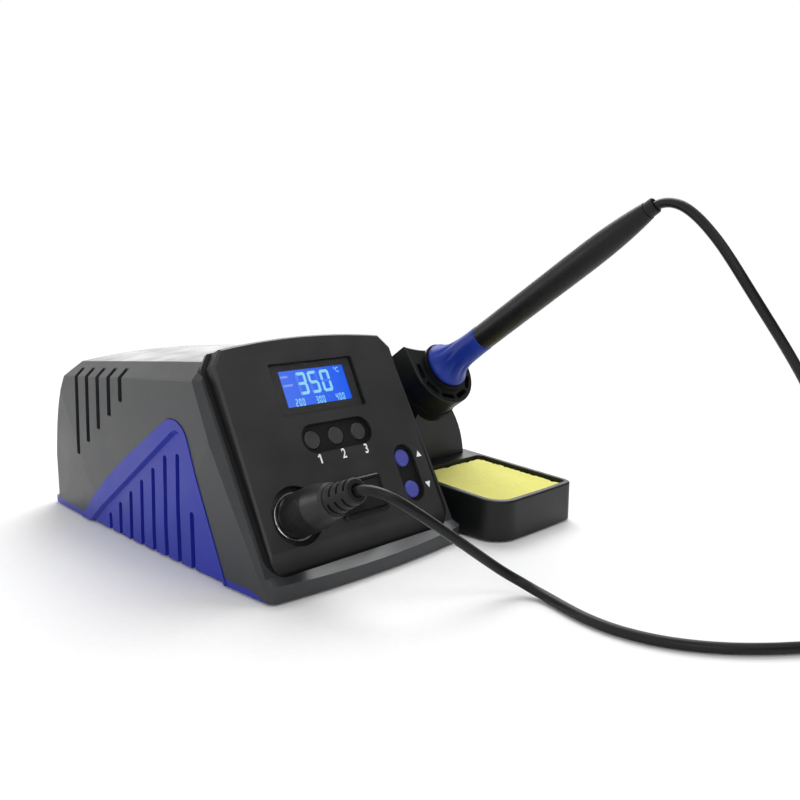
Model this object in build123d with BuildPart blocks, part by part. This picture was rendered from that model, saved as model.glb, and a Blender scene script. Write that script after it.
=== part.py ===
from build123d import *

import os
from math import atan2, cos, pi, radians, sin, tan

# Soldering station set: temperature controlled station, iron, iron stand with sponge, and iron cord.
# Millimetres, +Z up, the station faces -Y.  The origin is on the bench, at the centre of the footprint
# of the station, the stand and the iron in it.

# ------------------------------------------------------------------ driving dimensions
# station housing
shoulder_width = 110.4        # across the side bands, at the shoulders
side_draft = 2.0              # each side stands out this much more at the base
station_depth = 193.5         # sill line to the rear foot
band_proud = 1.3              # side bands stand out from the rear body
wall = 2.2                    # moulded wall
bezel_tilt = 29.5             # rim of the bezel, back from vertical
bezel_foot = 1.0              # rim plane meets the bench this far behind the sill line
bezel_wide = 2.6              # bevel outside the rim, across
bezel_deep = 3.6              # and backwards
rim_wide = 1.4                # flat rim between the bevel and the panel
roof_front = 91.0             # roof height at the bezel
roof_rear = 80.5              # roof height at the rear edge
roof_end = 163.0              # rear edge of the roof
crown = 3.5                   # roof is this much higher along its middle
shoulder_wide = 7.4           # slope between roof and side, across
shoulder_drop = 6.8           # and down
back_knee = 38.0              # flat lower back ends at this height
back_lean = 12.4              # lean of the flat lower back
band_foot = 190.0             # rear end of the side band, at the bench
band_turn = (40.0, 58.0)      # its rear edge turns up between these two, above the roof
band_slope = 35.5             # rear edge of the band, above the bench
seam_height = 3.6             # parting line of the two housings
seam_start = (5.0, 14.0)      # it climbs between these two distances behind the sill line
foot_drop = 0.9               # rubber feet under the base
foot_radius = 6.0
foot_at = (42.0, 26.0, 177.5) # rubber feet: across, then back
sill_height = 6.8             # upright face in front of the panel
sill_top = 9.4                # top of the sill's bevel
sill_bow = 2.0
louvre_count = 5
louvre_pitch = 11.25
louvre_width = 3.6
louvre_first = 113.5
groove_count = 8
groove_pitch = 10.3
groove_width = 3.0
groove_deep = 2.2
groove_first = 54.2
groove_inset = 12.0           # the front grooves end this far behind the field's front edge
louvre_clear = 9.2            # louvres stop this far above the band's rear edge
wing_toe = 28.4               # triangular opening in each side: its front foot
wing_peak = (59.7, 69.1)      # its peak, before rounding
wing_round = 12.8
wing_knee = (100.0, 44.1)     # its rear edge is straight down to here, then bends
wing_heel = (157.0, -0.5)     # and its rear foot
wing_proud = 0.4              # lower housing's side panel stands out of the band's face
wing_recess = 1.5             # its grooved field lies below the band's face
wing_back = 1.5               # stock behind the grooves
field_front = 2.2             # borders of the field, along its front edge
field_rear = 7.4              # and, upright, above its rear edge
field_round = 8.0
field_bevel = 1.4             # slope from the border down to the field
groove_clear = 5.0            # grooves stop this far below the field's rear edge
boss_at = (46.4, 27.0, 168.0) # screw bosses: across, then back
boss_radius = 3.5
boss_foot = 9.0
screw_radius = 1.5
screw_head = 2.9
screw_length = 18.0
vent_size = (3.0, 26.0)       # slots in the base: across, along
vent_pitch = 7.0
vent_at = ((-24.0, 45.0), (-24.0, 150.0), (24.0, 45.0))

# front panel
panel_tilt = 26.85            # back from vertical
panel_half = 48.8             # raised face
panel_top = 106.9             # up the slope, on the middle line
panel_arch = 2.8              # fall of the top edge towards its ends
panel_bevel = 0.8             # bevel round the raised face
panel_bottom = 9.6            # up the slope
panel_corner = 7.0            # lower corners
panel_cut = (5.0, 6.4)        # upper corners, across and down
panel_wall = 3.0
panel_flange = 2.4            # flat border round the raised face, thick
crease = 19.3                 # below this line the face bends back
crease_fall = 2.2
panel_flare = 1.3             # the raised face widens towards its border
panel_ledge = 5.0             # the housing's seat for the panel, across
seat_gap = 0.25               # gap round an inserted piece

# controls on the panel, as (across, up the slope)
window_size = (46.4, 23.5)
window_at = (-0.3, 83.6)
window_sink = 0.8
window_thick = 1.5
display_size = (36.4, 16.4)
display_at = (0.6, 84.3)
display_sink = 2.6
preset_count = 3
preset_pitch = 13.0
preset_at = (1.6, 60.8)
preset_pocket = 6.4
step_at = (34.8, 37.2)
step_pitch = 14.9
step_pocket = 6.0
button_radius = 4.1
button_travel = 0.9
button_sink = 1.2             # button tops lie below the panel face
button_flange = 5.1
switch_side = 6.0
switch_height = 3.5
switch_plunger = 1.2
plunger_radius = 1.7
pocket_deep = 1.9
running_gap = 0.3
rocker_size = (20.4, 12.4)
rocker_at = (3.6, 32.3)
rocker_frame = (25.4, 16.4)
rocker_throw = 14.0           # swing of the rocker, degrees
rocker_deep = 15.0
rocker_lip = 1.1              # rim of the switch over the panel
rocker_rise = 1.6
rocker_sink = 2.0             # hinge below the panel face
rocker_tab_pitch = (14.0, 6.0)
rocker_tab = (0.8, 4.8)
rocker_tab_length = 7.0
pin_radius = 1.2
pin_length = 0.6
pin_fit = 0.05
socket_at = (-31.0, 31.4)
socket_hole = 12.3
ring_radius = 10.25
ring_wall = 0.95
ring_sink = 1.6
ring_thick = 1.2
plug_radius = 9.1
plug_body = 25.5              # plug stands out of the panel, then its boot
plug_length = 39.5
plug_nose = 8.9
plug_fit = 0.08
plug_deep = 12.0
socket_flange = 2.4           # the socket's flange behind the panel
socket_shell = 1.5            # its body is this much smaller than the hole
socket_tail = 6.0
pin_circle = 5.2
pin_thick = 0.8
pin_tail = 5.0
plug_shoulder = (15.0, 20.0, 24.0)  # the plug narrows towards its boot at these distances
boot_slots = 3
boot_slot_width = 1.2
boot_radius = 6.2
boot_tip = 5.0
board_depth = 12.0            # display board behind the panel face
board_thick = 1.6
board_half = 42.0             # board: half width, top, and its leg (inner edge, shoulder, foot)
board_high = 95.0
board_low = (23.0, 50.0, 21.5)
board_bosses = ((-39.5, 55.0), (-39.5, 93.0), (39.5, 93.0), (39.5, 55.0))
boss_outer = 2.3
boss_pilot = 1.1
driver_at = (10.0, 74.0)      # driver chip on the display board
driver_size = (14.0, 10.0)
header_shift = -24.0          # its cable header stands beside it
header_size = (18.0, 5.0)
chip_height = 2.5

# circuit board and transformer inside the station
board_x = -27.0               # the circuit board's middle, across
board_width = 46.0
board_front = 37.0            # its front edge behind the sill line
board_rear = 46.5             # its rear edge in front of the station's rear foot
board_inset = (4.0, 5.0)      # its holes, in from its edges
board_post = 3.0
board_height = 8.0
board_hole = 1.6
smoothing_can = (6.3, 20.0)   # capacitors: radius, height
smoothing_spots = ((-14.0, -22.0), (-14.0, 4.0))  # parts on the board stand so far from its middle
small_can = (4.0, 14.0)
small_can_at = (8.0, 30.0)
heat_sink = (22.0, 21.0, 26.0)
heat_sink_at = (-8.0, 36.0)
fin_pitch = 5.0
fin_thick = 1.6
fin_count = 5
relay = (10.0, 24.0, 12.0)
relay_at = (8.0, 4.0)
terminal = (10.0, 7.0, 9.0)
terminal_at = (10.0, -30.0)
terminal_pitch = 7.6
terminal_count = 4
core_at = (22.0, 112.0)
core_size = (34.0, 54.0, 46.0)
core_foot = 6.0
core_rail = (20.0, 3.0, 5.0)  # rails under the core: from its middle, past its sides, and their width
winding_stand = 8.0           # the winding stands out of the core's sides

# rear panel
inlet_size = (37.0, 30.0)
inlet_at = (22.0, 21.5)
inlet_deep = 20.0
inlet_rim = 1.7
inlet_face = 2.4              # its flange stands out of the rear face
inlet_shift = 5.6             # power socket to one side, fuse drawer to the other
inlet_mouth = (16.2, 24.4)
mouth_deep = 17.5
mouth_cut = 4.0
drawer_shift = 11.0
drawer_size = (6.8, 22.0)
drawer_lip = 0.7              # its face laps the hole this far
drawer_face = 4.2             # and stands out of the rear face
drawer_deep = 16.0
drawer_wall = 0.8
fuse_radius = 2.5
fuse_half = 10.0
blade_size = (4.0, 2.0)
blade_stand = 12.0            # blades stand up in the mouth
blade_spots = ((-2.0, -7.0), (-2.0, 7.0), (2.5, 0.0))
blade_fit = 0.03
tab_size = (6.3, 0.8)
tab_length = 8.0
jack_at = (-24.0, 21.5)
jack_radius = 2.05
jack_deep = 12.0
jack_barrel = 4.0

# stand
stand_gap = 2.95              # clear space between station and stand
stand_width = 58.65
stand_front = -16.2           # stand reaches forward of the sill line
stand_back = 110.0
tray_bow = 0.6                # its front is bowed
tray_corner = (12.0, 5.5)     # front corners, the one beside the station first
tray_back_corner = 6.0
tray_height = 19.6            # rim height at the front
tray_rise = 3.3               # the rim climbs towards the back, degrees
tray_wall = 2.7
tray_floor = 5.0
tray_back = 43.5              # rear wall of the sponge well
sponge_gap = 0.7
sponge_sink = 1.6
post_half = 21.6              # round-topped post under the holder
post_top = 56.0
post_front = 51.5
post_lean = 2.0
post_back = 86.0
post_slope = 16.0             # its back falls over this length
stand_foot_at = (19.0, 14.0, 10.0)  # rubber feet: across, behind the front, in front of the back
stand_foot_radius = 4.8

# holder and iron, measured along the iron's axis from the back of the grip's flange
iron_tilt = 34.4              # above the bench
holder_shift = 1.125          # the holder and its post stand beside the tray's middle
holder_y = 45.8
holder_z = 73.7
shroud_radius = 19.8
shroud_rise = 14.9            # corners of the shroud's top above the axis
shroud_dip = 11.2             # middle of its top above the axis
shroud_front = 2.5            # face of the shroud behind the flange
shroud_lip = 13.5             # front part of the shroud, before its step
shroud_step = 0.7
shroud_length = 52.0
shroud_wall = 2.2
collar_radius = 12.9
collar_bore = 10.3
collar_gap = 0.3              # collar face behind the flange
collar_long = 6.0             # collar runs past the shroud's step
ring_plate = 2.5
slot_count = 6
slot_length = 8.6
slot_width = 2.5
sleeve_radius = 9.4
sleeve_wall = 0.8
sleeve_length = 62.0
flange_radius = 11.9
grip_length = 29.5
grip_radius = 6.6
handle_radius = 6.4
handle_wall = 1.8
handle_taper = 25.0           # the handle tapers over this length
handle_swell = 40.0           # and its waist starts this far before
tail_radius = 3.5
iron_length = 137.0
tail_long = 4.0
tail_seat = 8.0               # the tail reaches into the handle
nut_radius = 7.4
nut_length = 13.0
nut_ribs = 18
nut_groove = (0.9, 1.1)
barrel_radius = 3.6
barrel_length = 38.0
heater_deep = 8.0             # the heater starts this deep in the handle
tip_length = 18.0
tip_shank = 2.4
tip_socket = 20.0             # the tip's hollow sleeve reaches back into the barrel

# cord
cord_diameter = 4.0
cord_seat = 5.4               # the cord ends this deep inside the plug's boot and the iron's tail
coil_mean = 42.4              # middle diameter of the coil's turns
coil_wide = 12.4              # section of the coil
coil_high = 12.0
coil_at = (106.0, -223.0)

# ------------------------------------------------------------------ placing
base_half = shoulder_width / 2 + side_draft
set_left = -(2 * base_half + stand_gap + stand_width) / 2
station_x = set_left + base_half
stand_x = -set_left - stand_width / 2
holder_x = stand_x + holder_shift
lean = radians(iron_tilt)
iron_reach = iron_length * cos(lean) + tail_radius * sin(lean)
back = radians(back_lean)
drawer_edge = inlet_at[1] - drawer_size[1] / 2 - drawer_lip
back_end = station_depth + seam_height * tan(back) + drawer_face * cos(back) - drawer_edge * sin(back)
front_y = -(holder_y - iron_reach + back_end) / 2
half = shoulder_width / 2
body_half = half - band_proud
rim_half = half - bezel_wide + 0.4
cord_radius = cord_diameter / 2
button_spots = {
    f"preset_button_{i + 1}": (preset_at[0] + (i - (preset_count - 1) / 2) * preset_pitch, preset_at[1])
    for i in range(preset_count)
}
board_size = (board_width, station_depth - board_rear - board_front)
board_at = (board_x, board_front + board_size[1] / 2)
board_hole_pitch = (board_size[0] - 2 * board_inset[0], board_size[1] - 2 * board_inset[1])
board_spots = [
    (board_at[0] + side * board_hole_pitch[0] / 2, board_at[1] + end * board_hole_pitch[1] / 2)
    for side in (-1, 1)
    for end in (-1, 1)
]
button_spots["up_button"] = (step_at[0], step_at[1] + step_pitch / 2)
button_spots["down_button"] = (step_at[0], step_at[1] - step_pitch / 2)


def side_plane(x):
    """Upright plane across x: local x runs back from the sill line, local y runs up."""
    return Plane(origin=(x, front_y, 0), x_dir=(0, 1, 0), z_dir=(1, 0, 0))


def level(x, z):
    """Flat plane at height z, centred on x, measured back from the sill line."""
    return Plane(origin=(x, front_y, z))


def leaning(x, back, tilt):
    """Plane that leans back by tilt degrees from a line on the bench; its normal looks forward and up."""
    normal = (0, -cos(radians(tilt)), sin(radians(tilt)))
    return Plane(origin=(x, front_y + back, 0), x_dir=(1, 0, 0), z_dir=normal)


panel_face = leaning(station_x, 0, panel_tilt)
rim_face = leaning(station_x, bezel_foot, bezel_tilt)
rear_face = Plane(
    origin=(station_x, front_y + station_depth + seam_height * tan(radians(back_lean)), 0),
    x_dir=(-1, 0, 0),
    z_dir=(0, cos(radians(back_lean)), sin(radians(back_lean))),
)


def on_face(face, spot, height=0.0):
    """Plane parallel to a face, centred on a spot of it."""
    centre = face.from_local_coords((spot[0], spot[1], height))
    return Plane(origin=centre, x_dir=face.x_dir, z_dir=face.z_dir)


def turning(face, spot):
    """Plane through an axis that stands on a face: local x runs out along the axis, local y is the radius."""
    axis_plane = on_face(face, spot)
    return Plane(origin=axis_plane.origin, x_dir=face.z_dir, z_dir=-face.x_dir)


def rim_depth(z):
    """Distance of the rim plane behind the sill line, at height z."""
    return bezel_foot + z * tan(radians(bezel_tilt))


def rear_depth(z):
    """Distance of the flat lower back behind the sill line, at height z."""
    return station_depth + (seam_height - z) * tan(radians(back_lean))


def turned(plane, outline):
    """Solid of revolution about a plane's local x, from an outline of (along, radius) points."""
    with BuildPart() as piece:
        with BuildSketch(plane):
            with BuildLine():
                Polyline(*outline, close=True)
            make_face()
        revolve(axis=Axis(plane.origin, plane.x_dir))
    return piece.part


def save(piece, name):
    """Label a finished piece and write it."""
    piece.part.label = name
    export_step(piece.part, f"parts/{name}.step")


os.makedirs("parts", exist_ok=True)

# ------------------------------------------------------------------ housing form
roof_lean = atan2(roof_front - roof_rear, roof_end - rim_depth(roof_front))
roof_section = Plane(
    origin=(station_x, front_y + roof_end, roof_rear),
    x_dir=(1, 0, 0),
    z_dir=(0, -cos(roof_lean), sin(roof_lean)),
)
border = rim_half - rim_wide - seat_gap - panel_half


def side_outline(skin):
    """Side view of the station, moved in by skin."""
    knee = rear_depth(back_knee)
    with BuildSketch(side_plane(station_x)) as outline:
        with BuildLine():
            Polyline(
                (roof_end, roof_rear),
                (rim_depth(roof_front), roof_front),
                (rim_depth(sill_top), sill_top),
                (-2 * sill_bow, sill_height - 1),
                (-2 * sill_bow, foot_drop),
                (rear_depth(foot_drop), foot_drop),
                (knee, back_knee),
            )
            bulge = (knee + roof_end) / 2 + 3.4, (back_knee + roof_rear) / 2 + 1.6
            ThreePointArc((knee, back_knee), bulge, (roof_end, roof_rear))
        make_face()
        if skin:
            offset(amount=-skin, kind=Kind.INTERSECTION)
    return outline.sketch


def cross_outline(width, skin):
    """Section across the station under its crowned roof, moved in by skin."""
    ridge = width - shoulder_wide
    shoulder = -crown - shoulder_drop
    base = shoulder - roof_front
    foot = width + 1.3 * side_draft
    with BuildSketch(roof_section.offset(-station_depth / 3)) as outline:
        with BuildLine():
            ThreePointArc((-ridge, -crown), (0, 0), (ridge, -crown))
            Polyline((ridge, -crown), (width, shoulder), (foot, base), (-foot, base))
            Polyline((-foot, base), (-width, shoulder), (-ridge, -crown))
        make_face()
        fillet(outline.vertices().sort_by(Axis.Y)[2:], 1.2)
        if skin:
            offset(amount=-skin, kind=Kind.INTERSECTION)
    return outline.sketch


def plan_outline(width, skin):
    """The station seen from above: bowed sides, sill and back, with rounded corners."""
    front, rear, bow = width - 1.2, width - 0.6, width + side_draft
    sill, tail, middle = 1.5, rear_depth(0) - 1.5, station_depth / 2
    with BuildSketch(level(station_x, 0)) as outline:
        with BuildLine():
            ThreePointArc((-front, sill), (0, -sill_bow), (front, sill))
            ThreePointArc((front, sill), (bow, middle), (rear, tail))
            ThreePointArc((rear, tail), (0, rear_depth(0)), (-rear, tail))
            ThreePointArc((-rear, tail), (-bow, middle), (-front, sill))
        make_face()
        fillet(outline.vertices().sort_by(Axis.Y)[:2], 4.0)
        fillet(outline.vertices().sort_by(Axis.Y)[-2:], 6.0)
        if skin:
            offset(amount=-skin, kind=Kind.INTERSECTION)
    return outline.sketch


def flank_form(width, skin=0.0):
    """The station's sides and roof without its lower face, with all faces moved in by skin."""
    with BuildPart() as form:
        extrude(cross_outline(width, skin), amount=1.5 * station_depth)
        extrude(plan_outline(width, skin), amount=1.2 * roof_front, mode=Mode.INTERSECT)
    return form.part


def housing_form(width, skin=0.0):
    """The station's outer form, so wide at the shoulders, with all faces moved in by skin."""
    with BuildPart() as form:
        extrude(side_outline(skin), amount=base_half + wall, both=True)
        add(flank_form(width, skin), mode=Mode.INTERSECT)
    return form.part


def panel_outline(face, wider=0.0, larger=0.0):
    """Outline of the front panel on a leaning plane, wider on its sides and larger all round."""
    wide, top, low = panel_half + wider + larger, panel_top + larger, panel_bottom - larger
    ends = top - panel_arch
    cut_across, cut_down = panel_cut
    with BuildSketch(face) as outline:
        with BuildLine():
            ThreePointArc((cut_across - wide, ends), (0, top), (wide - cut_across, ends))
            Polyline((wide - cut_across, ends), (wide, ends - cut_down), (wide, low), (-wide, low))
            Polyline((-wide, low), (-wide, ends - cut_down), (cut_across - wide, ends))
        make_face()
        fillet(outline.vertices().sort_by(Axis.Y)[:2], panel_corner + wider + larger)
    return outline.sketch


def rim_outline(grow, behind):
    """Outline of the bezel's rim, grown, on a plane behind the rim."""
    wide, top = rim_half + grow, roof_front / cos(radians(bezel_tilt)) - 0.4 + grow
    ridge, ends = wide - shoulder_wide + 1.2, top - crown
    shoulder = ends - shoulder_drop - 1.2
    with BuildSketch(rim_face.offset(-behind)) as outline:
        with BuildLine():
            ThreePointArc((-ridge, ends), (0, top), (ridge, ends))
            Polyline((ridge, ends), (wide, shoulder), (wide, -panel_half), (-wide, -panel_half))
            Polyline((-wide, -panel_half), (-wide, shoulder), (-ridge, ends))
        make_face()
    return outline.sketch


def band_edge(y):
    """Height of the side band's rear edge above the bench."""
    return (band_foot - y) * tan(radians(band_slope))


def wing_outline(smaller=0.0):
    """Opening in each side for the lower housing's panel: a triangle with a round top and a bent rear."""
    low = -2 * wall
    toe_slope = (wing_peak[0] - wing_toe) / wing_peak[1]
    with BuildSketch(side_plane(station_x)) as outline:
        with BuildLine():
            Line((wing_toe + low * toe_slope, low), wing_peak)
            back_edge = Line(wing_peak, wing_knee)
            TangentArc(wing_knee, wing_heel, tangent=back_edge % 1)
            Polyline(wing_heel, (wing_heel[0], low), (wing_toe + low * toe_slope, low))
        make_face()
        fillet(outline.vertices().sort_by(Axis.Y)[-1], wing_round)
        if smaller:
            offset(amount=-smaller)
    return outline.sketch


outer_body = housing_form(body_half)
outer_band = housing_form(half)

with BuildPart() as nose:
    loft([rim_outline(0, 0), rim_outline(2 * bezel_wide, 2 * bezel_deep)], ruled=True)
    with BuildSketch(rim_face.offset(-2 * bezel_deep)):
        Rectangle(4 * base_half, 4 * roof_front)
    extrude(amount=-2 * station_depth)
    with BuildSketch(level(station_x, 0)):
        with Locations((0, station_depth / 4)):
            RectangleRounded(2 * rim_half, station_depth / 2 + 4 * sill_bow, 3.0)
    extrude(amount=sill_top)

with BuildPart() as cavity:
    add(housing_form(body_half, wall))
    with BuildSketch(rim_face.offset(-panel_flange - wall)):
        Rectangle(4 * base_half, 4 * roof_front)
    extrude(amount=2 * station_depth, mode=Mode.SUBTRACT)

with BuildPart() as seam:
    with BuildSketch(side_plane(station_x)):
        with BuildLine():
            end = 2 * station_depth
            Polyline(
                (seam_start[0], 0), (seam_start[0], foot_drop), (seam_start[1], seam_height),
                (end, seam_height), (end, 0), close=True,
            )
        make_face()
    extrude(amount=2 * base_half, both=True)

with BuildPart() as louvres:
    with BuildSketch(side_plane(station_x + body_half - 2 * wall)):
        for i in range(louvre_count):
            y = louvre_first + i * louvre_pitch
            bottom = band_edge(y) + louvre_clear
            with Locations((y, (bottom + 2 * roof_front) / 2)):
                RectangleRounded(louvre_width, 2 * roof_front - bottom, 0.6)
    extrude(amount=4 * wall)
    mirror(about=Plane(origin=(station_x, 0, 0), z_dir=(1, 0, 0)))

boss_spots = [(side * boss_at[0], y) for side in (-1, 1) for y in boss_at[1:]]

# the panel's seat: its border and its raised face, with a gap all round
panel_deep = panel_flange + 3 * panel_bevel + 4.0
with BuildPart() as seat:
    extrude(panel_outline(rim_face.offset(-panel_flange), border, seat_gap), amount=3 * panel_flange)
    extrude(panel_outline(panel_face, panel_flare, seat_gap), amount=-panel_deep - 2 * panel_flange)
    with BuildSketch(rim_face.offset(-panel_flange)):
        Rectangle(4 * panel_top, 4 * panel_top)
    extrude(amount=-4 * panel_top, mode=Mode.SUBTRACT)

# ------------------------------------------------------------------ upper housing
with BuildPart() as bosses:
    with BuildSketch(level(station_x, boss_foot)):
        with Locations(*boss_spots):
            Circle(boss_radius)
    extrude(amount=roof_front)
    add(cavity.part, mode=Mode.INTERSECT)
    with BuildSketch(level(station_x, boss_foot)):
        with Locations(*boss_spots):
            Circle(screw_radius)
    extrude(amount=screw_length, mode=Mode.SUBTRACT)

with BuildPart() as upper:
    add(outer_band)
    with BuildSketch(side_plane(station_x)):
        with BuildLine():
            far, high = station_depth, 2 * roof_front
            Polyline(
                (-far, -high), (-far, high), (band_turn[0], high), (band_turn[1], band_edge(band_turn[1])),
                (band_foot, 0), (band_foot, -high), close=True,
            )
        make_face()
    extrude(amount=2 * base_half, both=True, mode=Mode.INTERSECT)
    add(outer_body)
    add(nose.part, mode=Mode.INTERSECT)
    add(cavity.part, mode=Mode.SUBTRACT)
    add(seat.part, mode=Mode.SUBTRACT)
    extrude(
        panel_outline(rim_face, border, -panel_ledge),
        amount=-panel_flange - 2 * wall,
        mode=Mode.SUBTRACT,
    )
    extrude(wing_outline(), amount=2 * base_half, both=True, mode=Mode.SUBTRACT)
    add(louvres.part, mode=Mode.SUBTRACT)
    add(bosses.part)
    add(seam.part, mode=Mode.SUBTRACT)
    with BuildSketch(on_face(rear_face, inlet_at, wall)):
        Rectangle(inlet_size[0] - 2 * inlet_rim + 2 * seat_gap, inlet_size[1] - 2 * inlet_rim + 2 * seat_gap)
    extrude(amount=-4 * wall, mode=Mode.SUBTRACT)
    with BuildSketch(on_face(rear_face, jack_at, wall)):
        Circle(jack_barrel + seat_gap)
    extrude(amount=-4 * wall, mode=Mode.SUBTRACT)
save(upper, "upper_housing")

# ------------------------------------------------------------------ lower housing
field_rise = wing_peak[1] / (wing_peak[0] - wing_toe)
field_fall = (wing_peak[1] - wing_heel[1]) / (wing_heel[0] - wing_peak[0])
front_line = wing_toe + field_front
rear_line = wing_peak[1] + field_fall * wing_peak[0] - field_rear


def field_outline(x, bevel):
    """Sunken field of the wing on an upright plane: lines beside the wing's edges, moved in by bevel."""
    low = -2 * wall
    front, rear = front_line + bevel, rear_line - 1.3 * bevel
    peak_y = (rear + front * field_rise) / (field_rise + field_fall)
    with BuildSketch(side_plane(x)) as outline:
        with BuildLine():
            toe, heel = (front + low / field_rise, low), ((rear - low) / field_fall, low)
            Polyline(toe, (peak_y, rear - field_fall * peak_y), heel, close=True)
        make_face()
        fillet(outline.vertices().sort_by(Axis.Y)[-1], field_round)
    return outline.sketch


field_inner, field_outer = half - wall, half + wall + wing_proud
with BuildPart() as field:
    loft(
        [
            field_outline(station_x + field_inner, field_bevel),
            field_outline(station_x + field_outer, -field_bevel),
        ],
        ruled=True,
    )
    add(flank_form(half, wing_recess), mode=Mode.SUBTRACT)

with BuildPart() as grooves:
    with BuildSketch(side_plane(station_x + half - 2 * wall)):
        for i in range(groove_count):
            y = groove_first + i * groove_pitch
            behind = rear_line - field_fall * y - groove_clear
            top = min(behind, (y - front_line - groove_inset) * field_rise)
            with Locations((y, top / 2 - roof_front / 2)):
                RectangleRounded(groove_width, top + roof_front, groove_width / 2 - 0.1)
    extrude(amount=4 * wall)
    add(flank_form(half, wing_recess + groove_deep), mode=Mode.SUBTRACT)

with BuildPart() as wing:
    extrude(wing_outline(seat_gap), amount=2 * base_half)
    add(flank_form(half, -wing_proud), mode=Mode.INTERSECT)
    add(flank_form(half, wing_recess + groove_deep + wing_back), mode=Mode.SUBTRACT)
    with BuildSketch(side_plane(station_x)):
        Rectangle(4 * station_depth, 4 * roof_front)
    extrude(amount=half - 12.0, mode=Mode.SUBTRACT)
    with BuildSketch(level(station_x, foot_drop)):
        Rectangle(4 * base_half, 4 * station_depth)
    extrude(amount=-2 * roof_front, mode=Mode.SUBTRACT)

with BuildPart() as side_shell:
    add(outer_band)
    add(seam.part, mode=Mode.INTERSECT)
    add(wing.part)
    with BuildSketch(side_plane(station_x)):
        Rectangle(4 * station_depth, 4 * roof_front)
    extrude(amount=-2 * base_half, mode=Mode.SUBTRACT)
    add(field.part, mode=Mode.SUBTRACT)
    add(grooves.part, mode=Mode.SUBTRACT)

with BuildPart() as lower:
    add(side_shell.part)
    mirror(about=Plane(origin=(station_x, 0, 0), z_dir=(1, 0, 0)))
    with BuildSketch(level(station_x, seam_height)):
        with Locations(*boss_spots):
            Circle(boss_radius)
    extrude(amount=boss_foot - seam_height - 0.05)
    with BuildSketch(level(station_x, seam_height)):
        with Locations(*board_spots):
            Circle(board_post)
    extrude(amount=board_height - seam_height)
    with BuildSketch(level(station_x, seam_height)):
        with Locations(*[(core_at[0], core_at[1] + end * core_rail[0]) for end in (-1, 1)]):
            Rectangle(core_size[0] + 2 * core_rail[1], core_rail[2])
    extrude(amount=core_foot - seam_height)
    with Locations(level(station_x, foot_drop)):
        with Locations(*boss_spots):
            with Locations(Rotation(180, 0, 0)):
                CounterSinkHole(screw_radius + 0.1, screw_head + 0.2, boss_foot)
    with BuildSketch(level(station_x, 0)):
        with Locations(*vent_at):
            with GridLocations(vent_pitch, 0, 6, 1):
                SlotOverall(vent_size[1], vent_size[0], rotation=90)
    extrude(amount=seam_height, mode=Mode.SUBTRACT)
save(lower, "lower_housing")

with BuildPart() as feet:
    with BuildSketch(level(station_x, 0)):
        with Locations(*[(side * foot_at[0], y) for side in (-1, 1) for y in foot_at[1:]]):
            Circle(foot_radius)
    extrude(amount=foot_drop)
save(feet, "station_feet")

screw_plane = Plane(origin=(station_x, front_y, foot_drop), x_dir=(0, 0, 1), z_dir=(1, 0, 0))
screw = turned(
    screw_plane,
    [(0.1, 0), (0.1, screw_head), (screw_head - 1.2, screw_radius), (screw_length, screw_radius),
     (screw_length + 1.2, 0)],
)
with BuildPart() as case_screws:
    with Locations(*[(x, y, 0) for x, y in boss_spots]):
        add(screw)
save(case_screws, "case_screws")

# ------------------------------------------------------------------ front panel
with BuildPart() as panel:
    bevel_foot = panel_face.offset(-panel_bevel)
    face_foot = panel_face.offset(-panel_deep)
    loft([panel_outline(panel_face, 0, -panel_bevel), panel_outline(bevel_foot)], ruled=True)
    loft([panel_outline(bevel_foot), panel_outline(face_foot, panel_flare)], ruled=True)
    extrude(panel_outline(face_foot, panel_flare), amount=-2 * panel_flange)
    extrude(panel_outline(rim_face.offset(-panel_flange), border), amount=panel_flange - 0.3)
    with BuildSketch(rim_face.offset(-panel_flange)):
        Rectangle(4 * panel_top, 4 * panel_top)
    extrude(amount=-4 * panel_top, mode=Mode.SUBTRACT)
    with BuildSketch(side_plane(station_x)):
        with BuildLine():
            bent = radians(panel_tilt)
            start = crease * sin(bent), crease * cos(bent)
            foot_y = panel_bottom * sin(bent) + crease_fall * cos(bent)
            foot_z = panel_bottom * cos(bent) - crease_fall * sin(bent)
            past = 2 * foot_y - start[0], 2 * foot_z - start[1]
            Polyline(start, past, (-crease, past[1]), (-crease, start[1]), close=True)
        make_face()
    extrude(amount=2 * base_half, both=True, mode=Mode.SUBTRACT)
    extrude(panel_outline(panel_face.offset(-panel_wall), border, -panel_ledge - seat_gap), amount=-4 * wall,
            mode=Mode.SUBTRACT)
    # bosses for the display board
    with BuildSketch(panel_face.offset(-panel_wall)):
        with Locations(*board_bosses):
            Circle(boss_outer)
    extrude(amount=panel_wall - board_depth)
    # window, pockets and holes
    with BuildSketch(on_face(panel_face, window_at)):
        RectangleRounded(*window_size, 1.0)
    extrude(amount=-panel_wall, mode=Mode.SUBTRACT)
    with BuildSketch(on_face(panel_face, preset_at)):
        SlotCenterToCenter((preset_count - 1) * preset_pitch, 2 * preset_pocket)
    extrude(amount=-pocket_deep, mode=Mode.SUBTRACT)
    with BuildSketch(on_face(panel_face, step_at)):
        SlotCenterToCenter(step_pitch, 2 * step_pocket, rotation=90)
    extrude(amount=-pocket_deep, mode=Mode.SUBTRACT)
    with BuildSketch(panel_face):
        with Locations(*button_spots.values()):
            Circle(button_radius + running_gap)
        with Locations(socket_at):
            Circle(socket_hole)
        with Locations(rocker_at):
            Rectangle(*[side - 2 * rocker_lip + 2 * seat_gap for side in rocker_frame])
    extrude(amount=-panel_wall, mode=Mode.SUBTRACT)
save(panel, "front_panel")

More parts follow.
